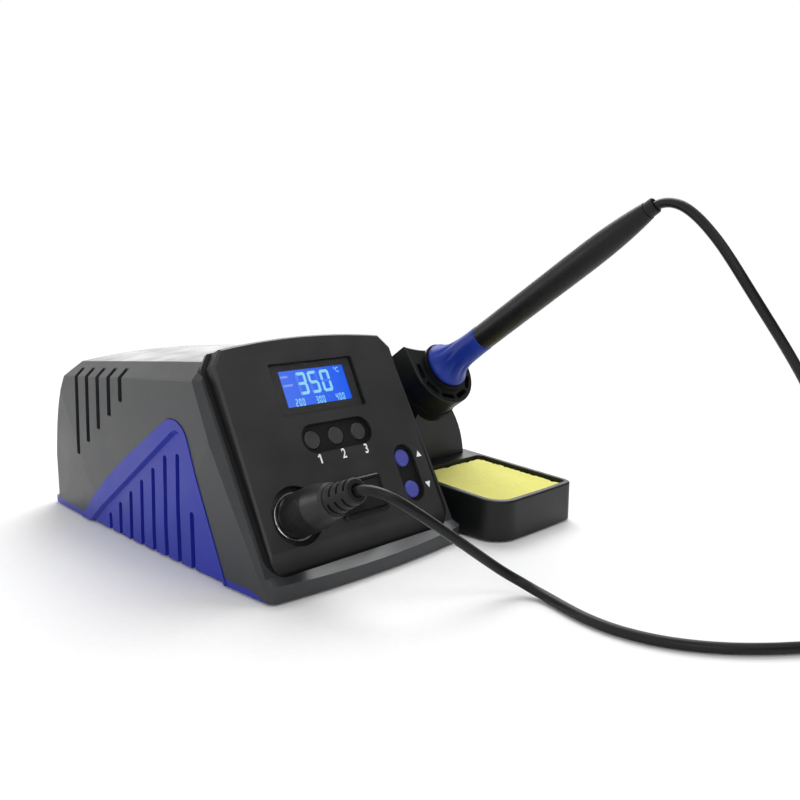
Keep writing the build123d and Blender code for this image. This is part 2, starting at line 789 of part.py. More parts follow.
# ------------------------------------------------------------------ display
with BuildPart() as window:
    with BuildSketch(on_face(panel_face, window_at, -window_sink)):
        RectangleRounded(window_size[0] - 2 * seat_gap, window_size[1] - 2 * seat_gap, 0.8)
    extrude(amount=-window_thick)
save(window, "lcd_window")

frame_front = window_sink + window_thick + 0.05
with BuildPart() as lcd_frame:
    with BuildSketch(on_face(panel_face, window_at, -frame_front)):
        RectangleRounded(window_size[0] - 2 * seat_gap, window_size[1] - 2 * seat_gap, 0.8)
    extrude(amount=frame_front - panel_wall - 0.1)
    with BuildSketch(on_face(panel_face, window_at, -panel_wall - 0.1)):
        Rectangle(window_size[0] + 4, window_size[1] + 4)
    extrude(amount=panel_wall + 0.2 - board_depth)
    with BuildSketch(on_face(panel_face, display_at)):
        Rectangle(*display_size)
    extrude(amount=-board_depth, mode=Mode.SUBTRACT)
    with BuildSketch(on_face(panel_face, display_at, -display_sink - 0.6)):
        Rectangle(display_size[0] + 3, display_size[1] + 3)
    extrude(amount=-board_depth, mode=Mode.SUBTRACT)
save(lcd_frame, "lcd_frame")

with BuildPart() as lcd_glass:
    with BuildSketch(on_face(panel_face, display_at, -display_sink - 0.6)):
        Rectangle(display_size[0] + 2.6, display_size[1] + 2.6)
    extrude(amount=-2.2)
save(lcd_glass, "lcd_glass")

with BuildPart() as backlight:
    with BuildSketch(on_face(panel_face, display_at, -display_sink - 3.0)):
        Rectangle(display_size[0] + 2.2, display_size[1] + 2.2)
    extrude(amount=display_sink + 3.1 - board_depth)
save(backlight, "lcd_backlight")

with BuildPart() as board:
    with BuildSketch(panel_face.offset(-board_depth - 0.05)):
        with Locations((0, (board_low[1] + board_high) / 2)):
            Rectangle(2 * board_half, board_high - board_low[1])
        with Locations(((board_low[0] + board_half) / 2, (board_low[2] + board_low[1]) / 2)):
            Rectangle(board_half - board_low[0], board_low[1] - board_low[2])
        with Locations(*board_bosses):
            Circle(boss_pilot, mode=Mode.SUBTRACT)
    extrude(amount=-board_thick)
    with BuildSketch(on_face(panel_face, driver_at, -board_depth - board_thick - 0.05)):
        Rectangle(*driver_size)
        with Locations((header_shift, 0)):
            Rectangle(*header_size)
    extrude(amount=-chip_height)
save(board, "display_board")

with BuildPart() as switches:
    with BuildSketch(panel_face.offset(-board_depth)):
        with Locations(*button_spots.values()):
            Rectangle(switch_side, switch_side)
    extrude(amount=switch_height)
    with BuildSketch(panel_face.offset(switch_height - board_depth)):
        with Locations(*button_spots.values()):
            Circle(plunger_radius)
    extrude(amount=switch_plunger)
save(switches, "tact_switches")

stem_end = board_depth - switch_height - switch_plunger - button_travel - running_gap
for name, spot in button_spots.items():
    cap_back = panel_wall + running_gap
    button = turned(
        turning(panel_face, spot),
        [(-button_sink, 0), (-button_sink, button_radius - 0.7), (-button_sink - 0.25, button_radius - 0.25),
         (-button_sink - 0.8, button_radius), (-cap_back, button_radius), (-cap_back, button_flange),
         (-cap_back - 1.0, button_flange), (-cap_back - 1.0, 2.0), (-stem_end, 2.0), (-stem_end, 0)],
    )
    button.label = name
    export_step(button, f"parts/{name}.step")

# ------------------------------------------------------------------ power switch
pivot = panel_face.from_local_coords((rocker_at[0], rocker_at[1], -rocker_sink))
rocker_plane = Plane(origin=pivot, x_dir=(1, 0, 0), z_dir=-panel_face.y_dir)
rocker_reach = rocker_size[0] / 2
swing = rocker_throw / 2


def polar(angle):
    """Point of the rocker's end arc."""
    return rocker_reach * cos(radians(angle)), rocker_reach * sin(radians(angle))


with BuildPart() as rocker:
    with BuildSketch(rocker_plane):
        with BuildLine():
            ThreePointArc(polar(24 + swing), polar(swing), polar(swing - 32))
            Line(polar(swing - 32), polar(212 + swing))
            ThreePointArc(polar(212 + swing), polar(180 + swing), polar(156 + swing))
            Polyline(polar(156 + swing), (-2.6 * sin(radians(swing)), 2.6), polar(24 + swing))
        make_face()
    extrude(amount=rocker_size[1] / 2, both=True)
    with BuildSketch(rocker_plane):
        Circle(pin_radius)
    extrude(amount=rocker_size[1] / 2 + running_gap + pin_length, both=True)
save(rocker, "power_rocker")

with BuildPart() as switch_body:
    with BuildSketch(on_face(panel_face, rocker_at)):
        RectangleRounded(*rocker_frame, 1.2)
    extrude(amount=rocker_rise)
    chamfer(switch_body.faces().sort_by(Axis.Y)[0].edges(), 0.6)
    with BuildSketch(on_face(panel_face, rocker_at)):
        Rectangle(*[side - 2 * rocker_lip for side in rocker_frame])
    extrude(amount=-rocker_deep)
    with BuildSketch(on_face(panel_face, rocker_at, rocker_rise)):
        Rectangle(rocker_size[0] + 2 * running_gap, rocker_size[1] + 2 * running_gap)
    extrude(amount=-rocker_rise - rocker_sink - rocker_reach * sin(radians(34 + swing)) - running_gap,
            mode=Mode.SUBTRACT)
    with BuildSketch(rocker_plane):
        Circle(pin_radius + pin_fit)
    extrude(amount=rocker_size[1] / 2 + running_gap + pin_length + 0.1, both=True, mode=Mode.SUBTRACT)
    with BuildSketch(on_face(panel_face, rocker_at, -rocker_deep)):
        with GridLocations(*rocker_tab_pitch, 2, 2):
            Rectangle(*rocker_tab)
    extrude(amount=-rocker_tab_length)
save(switch_body, "power_switch")

# ------------------------------------------------------------------ iron socket and plug
socket_axis = turning(panel_face, socket_at)
ring_face = -ring_sink
ring_back = ring_face - ring_thick
flange_back = -panel_wall - 0.6 * panel_wall
with BuildPart() as socket_body:
    add(turned(
        socket_axis,
        [(ring_back, plug_nose + plug_fit), (ring_back, socket_hole - seat_gap / 2),
         (-panel_wall - 0.1, socket_hole - seat_gap / 2), (-panel_wall - 0.1, socket_hole + socket_flange),
         (flange_back, socket_hole + socket_flange), (flange_back, socket_hole - socket_shell),
         (-plug_deep - socket_tail, socket_hole - socket_shell), (-plug_deep - socket_tail, 0),
         (-plug_deep - running_gap, 0), (-plug_deep - running_gap, plug_nose + plug_fit)],
    ))
    with BuildSketch(on_face(panel_face, socket_at, -plug_deep - socket_tail)):
        with PolarLocations(pin_circle, 5, start_angle=18):
            Circle(pin_thick)
    extrude(amount=-pin_tail)
save(socket_body, "socket_body")

with BuildPart() as socket_ring:
    add(turned(
        socket_axis,
        [(ring_face + 0.5, ring_radius - ring_wall), (ring_face + 0.5, ring_radius - 0.3),
         (ring_face + 0.2, ring_radius), (ring_back, ring_radius), (ring_back, ring_radius - ring_wall)],
    ))
save(socket_ring, "socket_ring")

with BuildPart() as socket_nut:
    with BuildSketch(on_face(panel_face, socket_at, flange_back - 0.1)):
        RegularPolygon(socket_hole + socket_flange, 6)
        Circle(socket_hole - socket_shell + 0.1, mode=Mode.SUBTRACT)
    extrude(amount=-2.6)
save(socket_nut, "socket_nut")

with BuildPart() as plug:
    add(turned(
        socket_axis,
        [(-plug_deep, 0), (-plug_deep, plug_nose), (0, plug_nose), (0, plug_radius - 0.3), (0.4, plug_radius),
         (plug_shoulder[0], plug_radius), (plug_shoulder[1], plug_radius - 1.0),
         (plug_shoulder[2], boot_radius + 1.0), (plug_body, boot_radius + 0.3), (plug_body, 0)],
    ))
save(plug, "plug_shell")

with BuildPart() as boot:
    add(turned(
        socket_axis,
        [(plug_body, 0), (plug_body, boot_radius), (plug_length - 0.6, boot_tip),
         (plug_length, boot_tip - 0.6), (plug_length, cord_radius + 0.8),
         (plug_length - 3.0, cord_radius + 0.1),
         (plug_length - cord_seat, cord_radius + 0.1), (plug_length - cord_seat, 0)],
    ))
    slot_pitch = (plug_length - plug_body - 2) / boot_slots
    for i in range(boot_slots):
        for side in (-1, 1):
            height = plug_body + 1.6 + (i + (side + 1) / 4) * slot_pitch
            with BuildSketch(on_face(panel_face, socket_at, height)):
                Circle(2 * boot_radius)
                Circle(cord_radius + 1.4, mode=Mode.SUBTRACT)
                with Locations((0, side * 1.2 * boot_radius)):
                    Rectangle(4 * boot_radius, 2 * boot_radius, mode=Mode.INTERSECT)
            extrude(amount=boot_slot_width, mode=Mode.SUBTRACT)
save(boot, "plug_boot")

# ------------------------------------------------------------------ mains inlet, fuse drawer, ground jack
body_size = [side - 2 * inlet_rim for side in inlet_size]
mouth_at = (inlet_at[0] + inlet_shift, inlet_at[1])
mouth_floor = inlet_face - mouth_deep
with BuildPart() as inlet:
    with BuildSketch(on_face(rear_face, inlet_at, 0.05)):
        RectangleRounded(*inlet_size, 2.0)
    extrude(amount=inlet_face)
    chamfer(inlet.faces().sort_by(Axis.Y)[-1].edges(), 0.7)
    with BuildSketch(on_face(rear_face, inlet_at, 0.05)):
        Rectangle(*body_size)
    extrude(amount=-inlet_deep)
    with BuildSketch(on_face(rear_face, mouth_at, inlet_face + 0.1)):
        Rectangle(*inlet_mouth)
        chamfer(vertices().group_by(Axis.X)[0], mouth_cut)
    extrude(amount=-mouth_deep - 0.1, mode=Mode.SUBTRACT)
    with BuildSketch(on_face(rear_face, (inlet_at[0] - drawer_shift, inlet_at[1]), inlet_face + 0.1)):
        Rectangle(drawer_size[0] + 2 * running_gap, drawer_size[1] + 2 * running_gap)
    extrude(amount=-drawer_deep - inlet_face - 0.1 - running_gap, mode=Mode.SUBTRACT)
    with BuildSketch(on_face(rear_face, mouth_at, mouth_floor)):
        with Locations(*blade_spots):
            Rectangle(blade_size[0] + 2 * blade_fit, blade_size[1] + 2 * blade_fit)
    extrude(amount=-inlet_deep, mode=Mode.SUBTRACT)
save(inlet, "mains_inlet")

with BuildPart() as blades:
    with BuildSketch(on_face(rear_face, mouth_at, mouth_floor + blade_stand)):
        with Locations(*blade_spots):
            Rectangle(*blade_size)
    extrude(amount=-inlet_deep - mouth_floor - blade_stand)
    with BuildSketch(on_face(rear_face, mouth_at, -inlet_deep)):
        with Locations(*blade_spots):
            Rectangle(*tab_size)
    extrude(amount=-tab_length)
save(blades, "inlet_blades")

drawer_seat = inlet_face + 0.4
with BuildPart() as drawer:
    spot = (inlet_at[0] - drawer_shift, inlet_at[1])
    with BuildSketch(on_face(rear_face, spot, drawer_seat)):
        RectangleRounded(drawer_size[0] + 2 * drawer_lip, drawer_size[1] + 2 * drawer_lip, 0.8)
    extrude(amount=drawer_face - drawer_seat)
    with BuildSketch(on_face(rear_face, spot, drawer_face)):
        Rectangle(drawer_size[0] / 3, drawer_size[1] / 3)
    extrude(amount=-0.6, mode=Mode.SUBTRACT)
    with BuildSketch(on_face(rear_face, spot, drawer_seat)):
        Rectangle(*drawer_size)
    extrude(amount=-drawer_deep - drawer_seat)
    with BuildSketch(on_face(rear_face, spot, 1.0)):
        Rectangle(drawer_size[0] - 2 * drawer_wall, drawer_size[1] - 2 * drawer_wall)
    extrude(amount=-drawer_deep, mode=Mode.SUBTRACT)
save(drawer, "fuse_drawer")

with BuildPart() as fuse:
    middle = on_face(rear_face, spot, -drawer_deep / 2 + 0.6)
    with BuildSketch(Plane(origin=middle.origin, x_dir=middle.x_dir, z_dir=middle.y_dir)):
        Circle(fuse_radius)
    extrude(amount=fuse_half, both=True)
save(fuse, "fuse")

jack_axis = turning(rear_face, jack_at)
with BuildPart() as jack:
    add(turned(
        jack_axis,
        [(0.1, jack_radius), (0.1, jack_barrel + 2), (1.4, jack_barrel + 2), (2.0, jack_barrel + 1.4),
         (2.0, jack_radius)],
    ))
    add(turned(
        jack_axis,
        [(0.1, jack_radius), (0.1, jack_barrel), (-jack_deep - 2, jack_barrel), (-jack_deep - 2, 0),
         (2.0 - jack_deep, 0), (2.0 - jack_deep, jack_radius)],
    ))
save(jack, "ground_jack")

with BuildPart() as jack_nut:
    with BuildSketch(on_face(rear_face, jack_at, -wall - 0.1)):
        RegularPolygon(jack_barrel + 2.2, 6)
        Circle(jack_barrel + 0.05, mode=Mode.SUBTRACT)
    extrude(amount=-2.5)
save(jack_nut, "ground_jack_nut")

# ------------------------------------------------------------------ inside the station
with BuildPart() as main_board:
    with BuildSketch(level(station_x, board_height + 0.05)):
        with Locations(board_at):
            Rectangle(*board_size)
        with Locations(*board_spots):
            Circle(board_hole, mode=Mode.SUBTRACT)
    extrude(amount=board_thick)
save(main_board, "main_board")

board_top = board_height + board_thick + 0.1


def on_board(x, y):
    """Spot on the circuit board, from the board's middle."""
    return board_at[0] + x, board_at[1] + y


with BuildPart() as board_parts:
    with BuildSketch(level(station_x, board_top)):
        with Locations(*[on_board(*spot) for spot in smoothing_spots]):
            Circle(smoothing_can[0])
    extrude(amount=smoothing_can[1])
    with BuildSketch(level(station_x, board_top)):
        with Locations(on_board(*small_can_at)):
            Circle(small_can[0])
    extrude(amount=small_can[1])
    with BuildSketch(level(station_x, board_top)):
        with Locations(on_board(*heat_sink_at)):
            with GridLocations(0, fin_pitch, 1, fin_count):
                Rectangle(heat_sink[0], fin_thick)
            Rectangle(1.5 * fin_thick, heat_sink[1])
    extrude(amount=heat_sink[2])
    with BuildSketch(level(station_x, board_top)):
        with Locations(on_board(*terminal_at)):
            with GridLocations(0, terminal_pitch, 1, terminal_count):
                Rectangle(terminal[0], terminal[1])
    extrude(amount=terminal[2])
    with BuildSketch(level(station_x, board_top)):
        with Locations(on_board(*relay_at)):
            Rectangle(relay[0], relay[1])
    extrude(amount=relay[2])
save(board_parts, "main_board_parts")

with BuildPart() as core:
    with BuildSketch(level(station_x, core_foot + 0.05)):
        with Locations(core_at):
            Rectangle(core_size[0], core_size[1])
    extrude(amount=core_size[2])
    across = Plane(origin=(station_x + core_at[0], front_y + core_at[1], core_foot + core_size[2] / 2),
                   x_dir=(0, 1, 0), z_dir=(1, 0, 0))
    with BuildSketch(across):
        with GridLocations(core_size[1] / 2, 0, 2, 1):
            Rectangle(core_size[1] / 4, core_size[2] / 2)
    extrude(amount=core_size[0], both=True, mode=Mode.SUBTRACT)
save(core, "transformer_core")

with BuildPart() as coil:
    with BuildSketch(across):
        Rectangle(0.74 * core_size[1], 0.48 * core_size[2])
        Rectangle(core_size[1] / 4 + 0.2, core_size[2] / 2 + 1, mode=Mode.SUBTRACT)
    extrude(amount=core_size[0] / 2, both=True)
    with BuildSketch(across.offset(core_size[0] / 2)):
        RectangleRounded(0.74 * core_size[1], 0.85 * core_size[2], 3)
    extrude(amount=winding_stand)
    mirror(coil.solids().sort_by(Axis.X)[-1], about=across)
save(coil, "transformer_coil")

# ------------------------------------------------------------------ stand
rise = radians(tray_rise)
deck = Plane(
    origin=(stand_x, front_y + stand_front, tray_height), x_dir=(1, 0, 0), z_dir=(0, -sin(rise), cos(rise))
)
holder_origin = (holder_x, front_y + holder_y, holder_z)
iron_way = (0, -cos(lean), sin(lean))


def along(distance):
    """Plane across the iron's axis, so far out of the holder."""
    origin = Vector(holder_origin) + Vector(iron_way) * distance
    return Plane(origin=origin, x_dir=(1, 0, 0), z_dir=iron_way)


step_back = -shroud_front - shroud_lip
body_back = -shroud_length
dished = shroud_rise - shroud_dip
iron_axis = Plane(origin=holder_origin, x_dir=iron_way, z_dir=(-1, 0, 0))


def tray_outline(inset, back, height):
    """Plan of the tray with a bowed front and round corners, moved in by inset, up to a rear edge."""
    wide, front = stand_width / 2 - inset, stand_front + inset
    with BuildSketch(level(stand_x, height)) as outline:
        with BuildLine():
            ThreePointArc((-wide, front + tray_bow), (0, front), (wide, front + tray_bow))
            Polyline((wide, front + tray_bow), (wide, back), (-wide, back), (-wide, front + tray_bow))
        make_face()
        fillet(outline.vertices().group_by(Axis.X)[0].sort_by(Axis.Y)[0], tray_corner[0] - inset)
        fillet(outline.vertices().group_by(Axis.X)[-1].sort_by(Axis.Y)[0], tray_corner[1] - inset)
        fillet(outline.vertices().sort_by(Axis.Y)[-2:], tray_back_corner - inset)
    return outline.sketch


def post_form(skin=0.0):
    """Round-topped post from the bench up, leaning back a little, with all faces moved in by skin."""
    low = foot_drop - 2 * skin
    shoulder_x, shoulder_z = 0.9 * post_half, (2 * tray_height + post_top) / 2.6
    neck_x, neck_z = 0.61 * post_half, 0.87 * post_top
    with BuildSketch(Plane(origin=(holder_x, front_y, 0), x_dir=(1, 0, 0), z_dir=(0, -1, 0))) as arch:
        with BuildLine():
            ThreePointArc((-post_half, tray_height), (-shoulder_x, shoulder_z), (-neck_x, neck_z))
            ThreePointArc((-neck_x, neck_z), (0, post_top), (neck_x, neck_z))
            ThreePointArc((neck_x, neck_z), (shoulder_x, shoulder_z), (post_half, tray_height))
            Polyline((post_half, tray_height), (post_half, low), (-post_half, low), (-post_half, tray_height))
        make_face()
        if skin:
            offset(amount=-skin)
    with BuildSketch(side_plane(stand_x)) as flank:
        with BuildLine():
            Polyline(
                (post_front, low), (post_front, tray_height), (post_front + post_lean, post_top),
                (post_back - post_slope, post_top), (post_back, tray_height + 5), (post_back, low),
                close=True,
            )
        make_face()
        if skin:
            offset(amount=-skin, kind=Kind.INTERSECTION)
    with BuildPart() as form:
        extrude(arch.sketch, amount=-2 * post_back)
        extrude(flank.sketch, amount=stand_width, both=True, mode=Mode.INTERSECT)
    return form.part


def cradle(clearance):
    """Room for the shroud, in front of its step and behind it."""
    with BuildPart() as room:
        with BuildSketch(along(step_back)):
            Circle(shroud_radius + shroud_step + clearance)
        extrude(amount=body_back - step_back - 0.5)
        with BuildSketch(along(10)):
            Circle(shroud_radius + 0.25 + clearance)
        extrude(amount=step_back - 10)
    return room.part


with BuildPart() as under_deck:
    with BuildSketch(level(stand_x, 0)):
        with Locations((0, (tray_back + stand_back) / 2)):
            RectangleRounded(stand_width - 2 * tray_wall, stand_back - tray_back - 2 * tray_wall, tray_wall)
    extrude(amount=2 * tray_height)
    with BuildSketch(deck.offset(-tray_wall)):
        Rectangle(4 * stand_back, 4 * stand_back)
    extrude(amount=4 * tray_height, mode=Mode.SUBTRACT)
    add(post_form(tray_wall))
    add(cradle(tray_wall), mode=Mode.SUBTRACT)

with BuildPart() as stand:
    extrude(tray_outline(0, stand_back, foot_drop), amount=2 * tray_height)
    with BuildSketch(deck):
        Rectangle(4 * stand_back, 4 * stand_back)
    extrude(amount=4 * tray_height, mode=Mode.SUBTRACT)
    fillet(stand.faces().sort_by(Axis.Z)[-1].edges(), 0.9)
    # sponge well
    extrude(tray_outline(tray_wall, tray_back, tray_floor), amount=2 * tray_height, mode=Mode.SUBTRACT)
    add(post_form())
    add(under_deck.part, mode=Mode.SUBTRACT)
    add(cradle(0.05), mode=Mode.SUBTRACT)
save(stand, "stand_base")

with BuildPart() as stand_feet:
    with BuildSketch(level(stand_x, 0)):
        foot_lines = (stand_front + stand_foot_at[1], stand_back - stand_foot_at[2])
        with Locations(*[(side * stand_foot_at[0], y) for side in (-1, 1) for y in foot_lines]):
            Circle(stand_foot_radius)
    extrude(amount=foot_drop)
save(stand_feet, "stand_feet")

# ------------------------------------------------------------------ holder

def shroud_outline(plane, grow, dip):
    """Section of the holder's shroud: straight sides, round below, its top dished by dip."""
    wide = shroud_radius + grow
    high = shroud_rise + grow
    with BuildSketch(plane) as outline:
        with BuildLine():
            ThreePointArc((-wide, 0), (0, -wide), (wide, 0))
            Line((wide, 0), (wide, high))
            ThreePointArc((wide, high), (0, high - dip), (-wide, high))
            Line((-wide, high), (-wide, 0))
        make_face()
    return outline.sketch


with BuildPart() as shroud:
    extrude(shroud_outline(along(-shroud_front), 0, dished), amount=-shroud_lip)
    extrude(shroud_outline(along(step_back), shroud_step, dished), amount=body_back - step_back)
    fillet(shroud.faces().sort_by(Axis(holder_origin, iron_way))[-1].edges(), 1.0)
    with BuildSketch(along(-shroud_front)):
        Circle(collar_radius)
    extrude(amount=body_back + shroud_front)
    with BuildSketch(along(-shroud_front)):
        Circle(collar_radius)
    extrude(amount=shroud_front - collar_gap)
    # hollow between the shroud and its collar, open at the back
    extrude(
        shroud_outline(along(-shroud_front - ring_plate), -shroud_wall, dished),
        amount=2 * body_back,
        mode=Mode.SUBTRACT,
    )
    with BuildSketch(along(-collar_gap)):
        Circle(collar_radius)
    extrude(amount=step_back - collar_long)
    with BuildSketch(along(10)):
        Circle(collar_bore)
    extrude(amount=4 * body_back, mode=Mode.SUBTRACT)
    # air slots between the rim and the collar
    slot_radius = (shroud_radius - shroud_wall / 2 + collar_radius) / 2 + 0.3
    with BuildSketch(along(0)):
        for i in range(slot_count):
            angle = 180 + i * 180 / (slot_count - 1)
            with Locations(Rotation(0, 0, angle)):
                with Locations((slot_radius, 0)):
                    SlotOverall(slot_length, slot_width, rotation=90)
    extrude(amount=-shroud_front - ring_plate - 1, mode=Mode.SUBTRACT)
save(shroud, "holder_shroud")

with BuildPart() as sleeve:
    with BuildSketch(along(-shroud_front - 1.5)):
        Circle(sleeve_radius + sleeve_wall)
        Circle(sleeve_radius, mode=Mode.SUBTRACT)
    extrude(amount=-sleeve_length)
save(sleeve, "holder_sleeve")

# ------------------------------------------------------------------ sponge
with BuildPart() as sponge:
    inset = tray_wall + sponge_gap
    extrude(tray_outline(inset, tray_back - sponge_gap, tray_floor + 0.1), amount=tray_height)
    with BuildSketch(deck.offset(-sponge_sink)):
        Rectangle(4 * stand_back, 4 * stand_back)
    extrude(amount=2 * tray_height, mode=Mode.SUBTRACT)
save(sponge, "sponge")

# ------------------------------------------------------------------ iron
skirt = flange_radius - 1.2
with BuildPart() as grip:
    with BuildSketch(iron_axis):
        with BuildLine():
            Polyline((0, handle_radius - 1.0), (0, flange_radius - 0.5), (0.5, flange_radius),
                     (1.7, flange_radius), (2.2, skirt))
            ThreePointArc((2.2, skirt), (10.5, grip_radius + 1.35), (grip_length - 4, grip_radius))
            Polyline((grip_length - 4, grip_radius), (grip_length, grip_radius - 0.2),
                     (grip_length, handle_radius - 1.0), (0, handle_radius - 1.0))
        make_face()
    revolve(axis=Axis(iron_axis.origin, iron_axis.x_dir))
save(grip, "iron_grip")

with BuildPart() as handle:
    with BuildSketch(iron_axis):
        with BuildLine():
            inner = handle_radius - handle_wall
            end = iron_length - tail_long
            taper = iron_length - handle_taper
            waist = taper - handle_swell
            Polyline((0.5, inner), (0.5, handle_radius - 1.05), (grip_length + 0.1, handle_radius - 1.05),
                     (grip_length + 0.1, handle_radius), (waist, handle_radius - 0.1))
            Spline(
                (waist, handle_radius - 0.1), (taper, handle_radius - 0.6),
                (end - 1.5 * tail_long, tail_radius + 1.1), (end, tail_radius + 0.3),
            )
            Polyline((end, tail_radius + 0.3), (end, inner - 2.2), (taper - tail_long, inner - 0.6),
                     (0.5, inner))
        make_face()
    revolve(axis=Axis(iron_axis.origin, iron_axis.x_dir))
save(handle, "iron_handle")

with BuildPart() as tail:
    add(turned(
        iron_axis,
        [(end - tail_seat, 0), (end - tail_seat, inner - 2.4), (end + 0.1, inner - 2.4),
         (end + 0.1, tail_radius),
         (iron_length - 0.4, tail_radius), (iron_length, tail_radius - 0.3), (iron_length, cord_radius + 0.8),
         (iron_length - 3.0, cord_radius + 0.1), (iron_length - cord_seat, cord_radius + 0.1),
         (iron_length - cord_seat, 0)],
    ))
save(tail, "iron_tail")

with BuildPart() as nut:
    add(turned(
        iron_axis,
        [(-0.1, barrel_radius + 0.05), (-0.1, nut_radius), (-nut_length + 4, nut_radius),
         (-nut_length + 2.6, nut_radius - 1.4), (-nut_length, barrel_radius + 1.4),
         (-nut_length, barrel_radius + 0.05)],
    ))
    with BuildSketch(along(-1)):
        with PolarLocations(nut_radius + 0.2, nut_ribs):
            Rectangle(*nut_groove)
    extrude(amount=-nut_length + 5.5, mode=Mode.SUBTRACT)
save(nut, "iron_nut")

with BuildPart() as iron_barrel:
    add(turned(
        iron_axis,
        [(-0.2, barrel_radius - 0.4), (-0.2, barrel_radius), (-barrel_length, barrel_radius),
         (-barrel_length, tip_shank + 0.05), (-barrel_length + 1, tip_shank + 0.05),
         (-barrel_length + 1, barrel_radius - 0.4)],
    ))
save(iron_barrel, "iron_barrel")

with BuildPart() as heater:
    add(turned(
        iron_axis,
        [(heater_deep, 0), (heater_deep, barrel_radius - 1.0),
         (-barrel_length + tip_socket + 0.3, barrel_radius - 1.0),
         (-barrel_length + tip_socket + 0.3, 0)],
    ))
save(heater, "iron_heater")

with BuildPart() as tip:
    add(turned(
        iron_axis,
        [(-barrel_length + tip_socket, 0), (-barrel_length + tip_socket, barrel_radius - 0.6),
         (-barrel_length + 1.1, barrel_radius - 0.6), (-barrel_length + 1.1, tip_shank),
         (-barrel_length - tip_length / 2, tip_shank), (-barrel_length - tip_length, 0.3),
         (-barrel_length - tip_length, 0)],
    ))
save(tip, "iron_tip")

# ------------------------------------------------------------------ cord
def beyond_plug(distance):
    """Point on the plug's axis, so far beyond the end of its boot."""
    return tuple(panel_face.from_local_coords((socket_at[0], socket_at[1], plug_length + distance)))


lead_route = [
    beyond_plug(-cord_seat),
    beyond_plug(0),
    (-60.4, -89.6, 46.8),
    (-57.8, -94.4, 45.8),
    (-54.2, -98.1, 43.2),
    (-48.9, -101.4, 38.9),
    (-42.2, -104.5, 33.4),
    (-34.6, -107.4, 27.2),
    (-26.4, -109.9, 20.6),
    (-18.6, -111.9, 14.4),
    (-12.2, -114.5, 9.2),
    (-7.8, -118.7, 5.6),
    (-5.8, -124.5, 3.1),
    (-6.2, -131.7, cord_radius + 0.1),
    (-8.8, -140.6, cord_radius),
    (-11.6, -151.6, cord_radius),
    (-12.4, -164.6, cord_radius),
    (-9.4, -178.6, cord_radius),
    (-2.0, -192.6, cord_radius),
    (9.0, -205.1, cord_radius),
    (23.0, -216.6, cord_radius),
    (38.5, -226.6, cord_radius),
    (55.5, -234.9, cord_radius),
    (72.0, -240.6, cord_radius),
    (84.4, -243.2, cord_radius + 0.1),
]
rise_route = [
    tuple(along(iron_length - cord_seat).origin),
    tuple(along(iron_length).origin),
    (59.8, -136.4, 152.1),
    (59.7, -142.5, 150.5),
    (59.6, -148.3, 146.6),
    (59.5, -153.8, 141.5),
    (59.5, -159.3, 135.4),
    (59.8, -164.4, 128.6),
    (61.4, -169.3, 120.8),
    (65.0, -174.2, 111.8),
    (70.4, -178.9, 102.0),
    (77.0, -183.4, 91.4),
    (84.2, -187.5, 80.0),
    (91.2, -191.1, 67.4),
    (97.6, -194.1, 54.6),
    (103.2, -196.8, 42.0),
    (108.2, -199.7, 30.2),
    (113.0, -202.9, 21.5),
    (118.6, -206.5, 15.0),
]


def corner_radii(route):
    """Largest even bends: each is 0.45 of the shorter run beside it, over the tangent of half the turn."""
    points = [Vector(*point) for point in route]
    radii = []
    for before, here, after in zip(points, points[1:], points[2:]):
        turn = radians((here - before).get_angle(after - here))
        shorter = min((here - before).length, (after - here).length)
        radii.append(0.45 * shorter / tan(turn / 2))
    return radii


def cord_tube(route):
    """Plain round cord along a route of straight runs and tangent arcs."""
    radii = corner_radii(route)
    print("cord radii", [round(radius) for radius in radii])
    with BuildPart() as tube:
        with BuildLine():
            path = FilletPolyline(*route, radius=radii)
        with BuildSketch(Plane(origin=path @ 0, z_dir=path % 0)):
            Circle(cord_radius)
        sweep()
    length = path.length
    print("cord length", round(length, 1), "volume over section times length",
          round(tube.part.volume / (pi * cord_radius**2 * length), 4))
    return tube


save(cord_tube(lead_route), "cord_lead")
save(cord_tube(rise_route), "cord_rise")

with BuildPart() as cord_coil:
    coil_plane = Plane(origin=(coil_at[0], coil_at[1], 0), x_dir=(0, 0, 1), z_dir=(0, 1, 0))
    with BuildSketch(coil_plane):
        with Locations((coil_high / 2, coil_mean / 2)):
            RectangleRounded(coil_high, coil_wide, cord_radius)
    revolve(axis=Axis(coil_plane.origin, (0, 0, 1)))
save(cord_coil, "cord_coil")
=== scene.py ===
# %% [markdown]
# # A soldering station on a bench
# The set is a temperature controlled station, an iron in its stand and the silicone cord between them.  The
# solids come packed from the CAD model.  This script gives them their finishes, and it adds what a solid
# model leaves plain: the legends, the lit display, the damp sponge, the folds in the grip and the cord.

# %% Setup
import math

import bmesh
import bpy
from mathutils import Matrix, Vector, noise


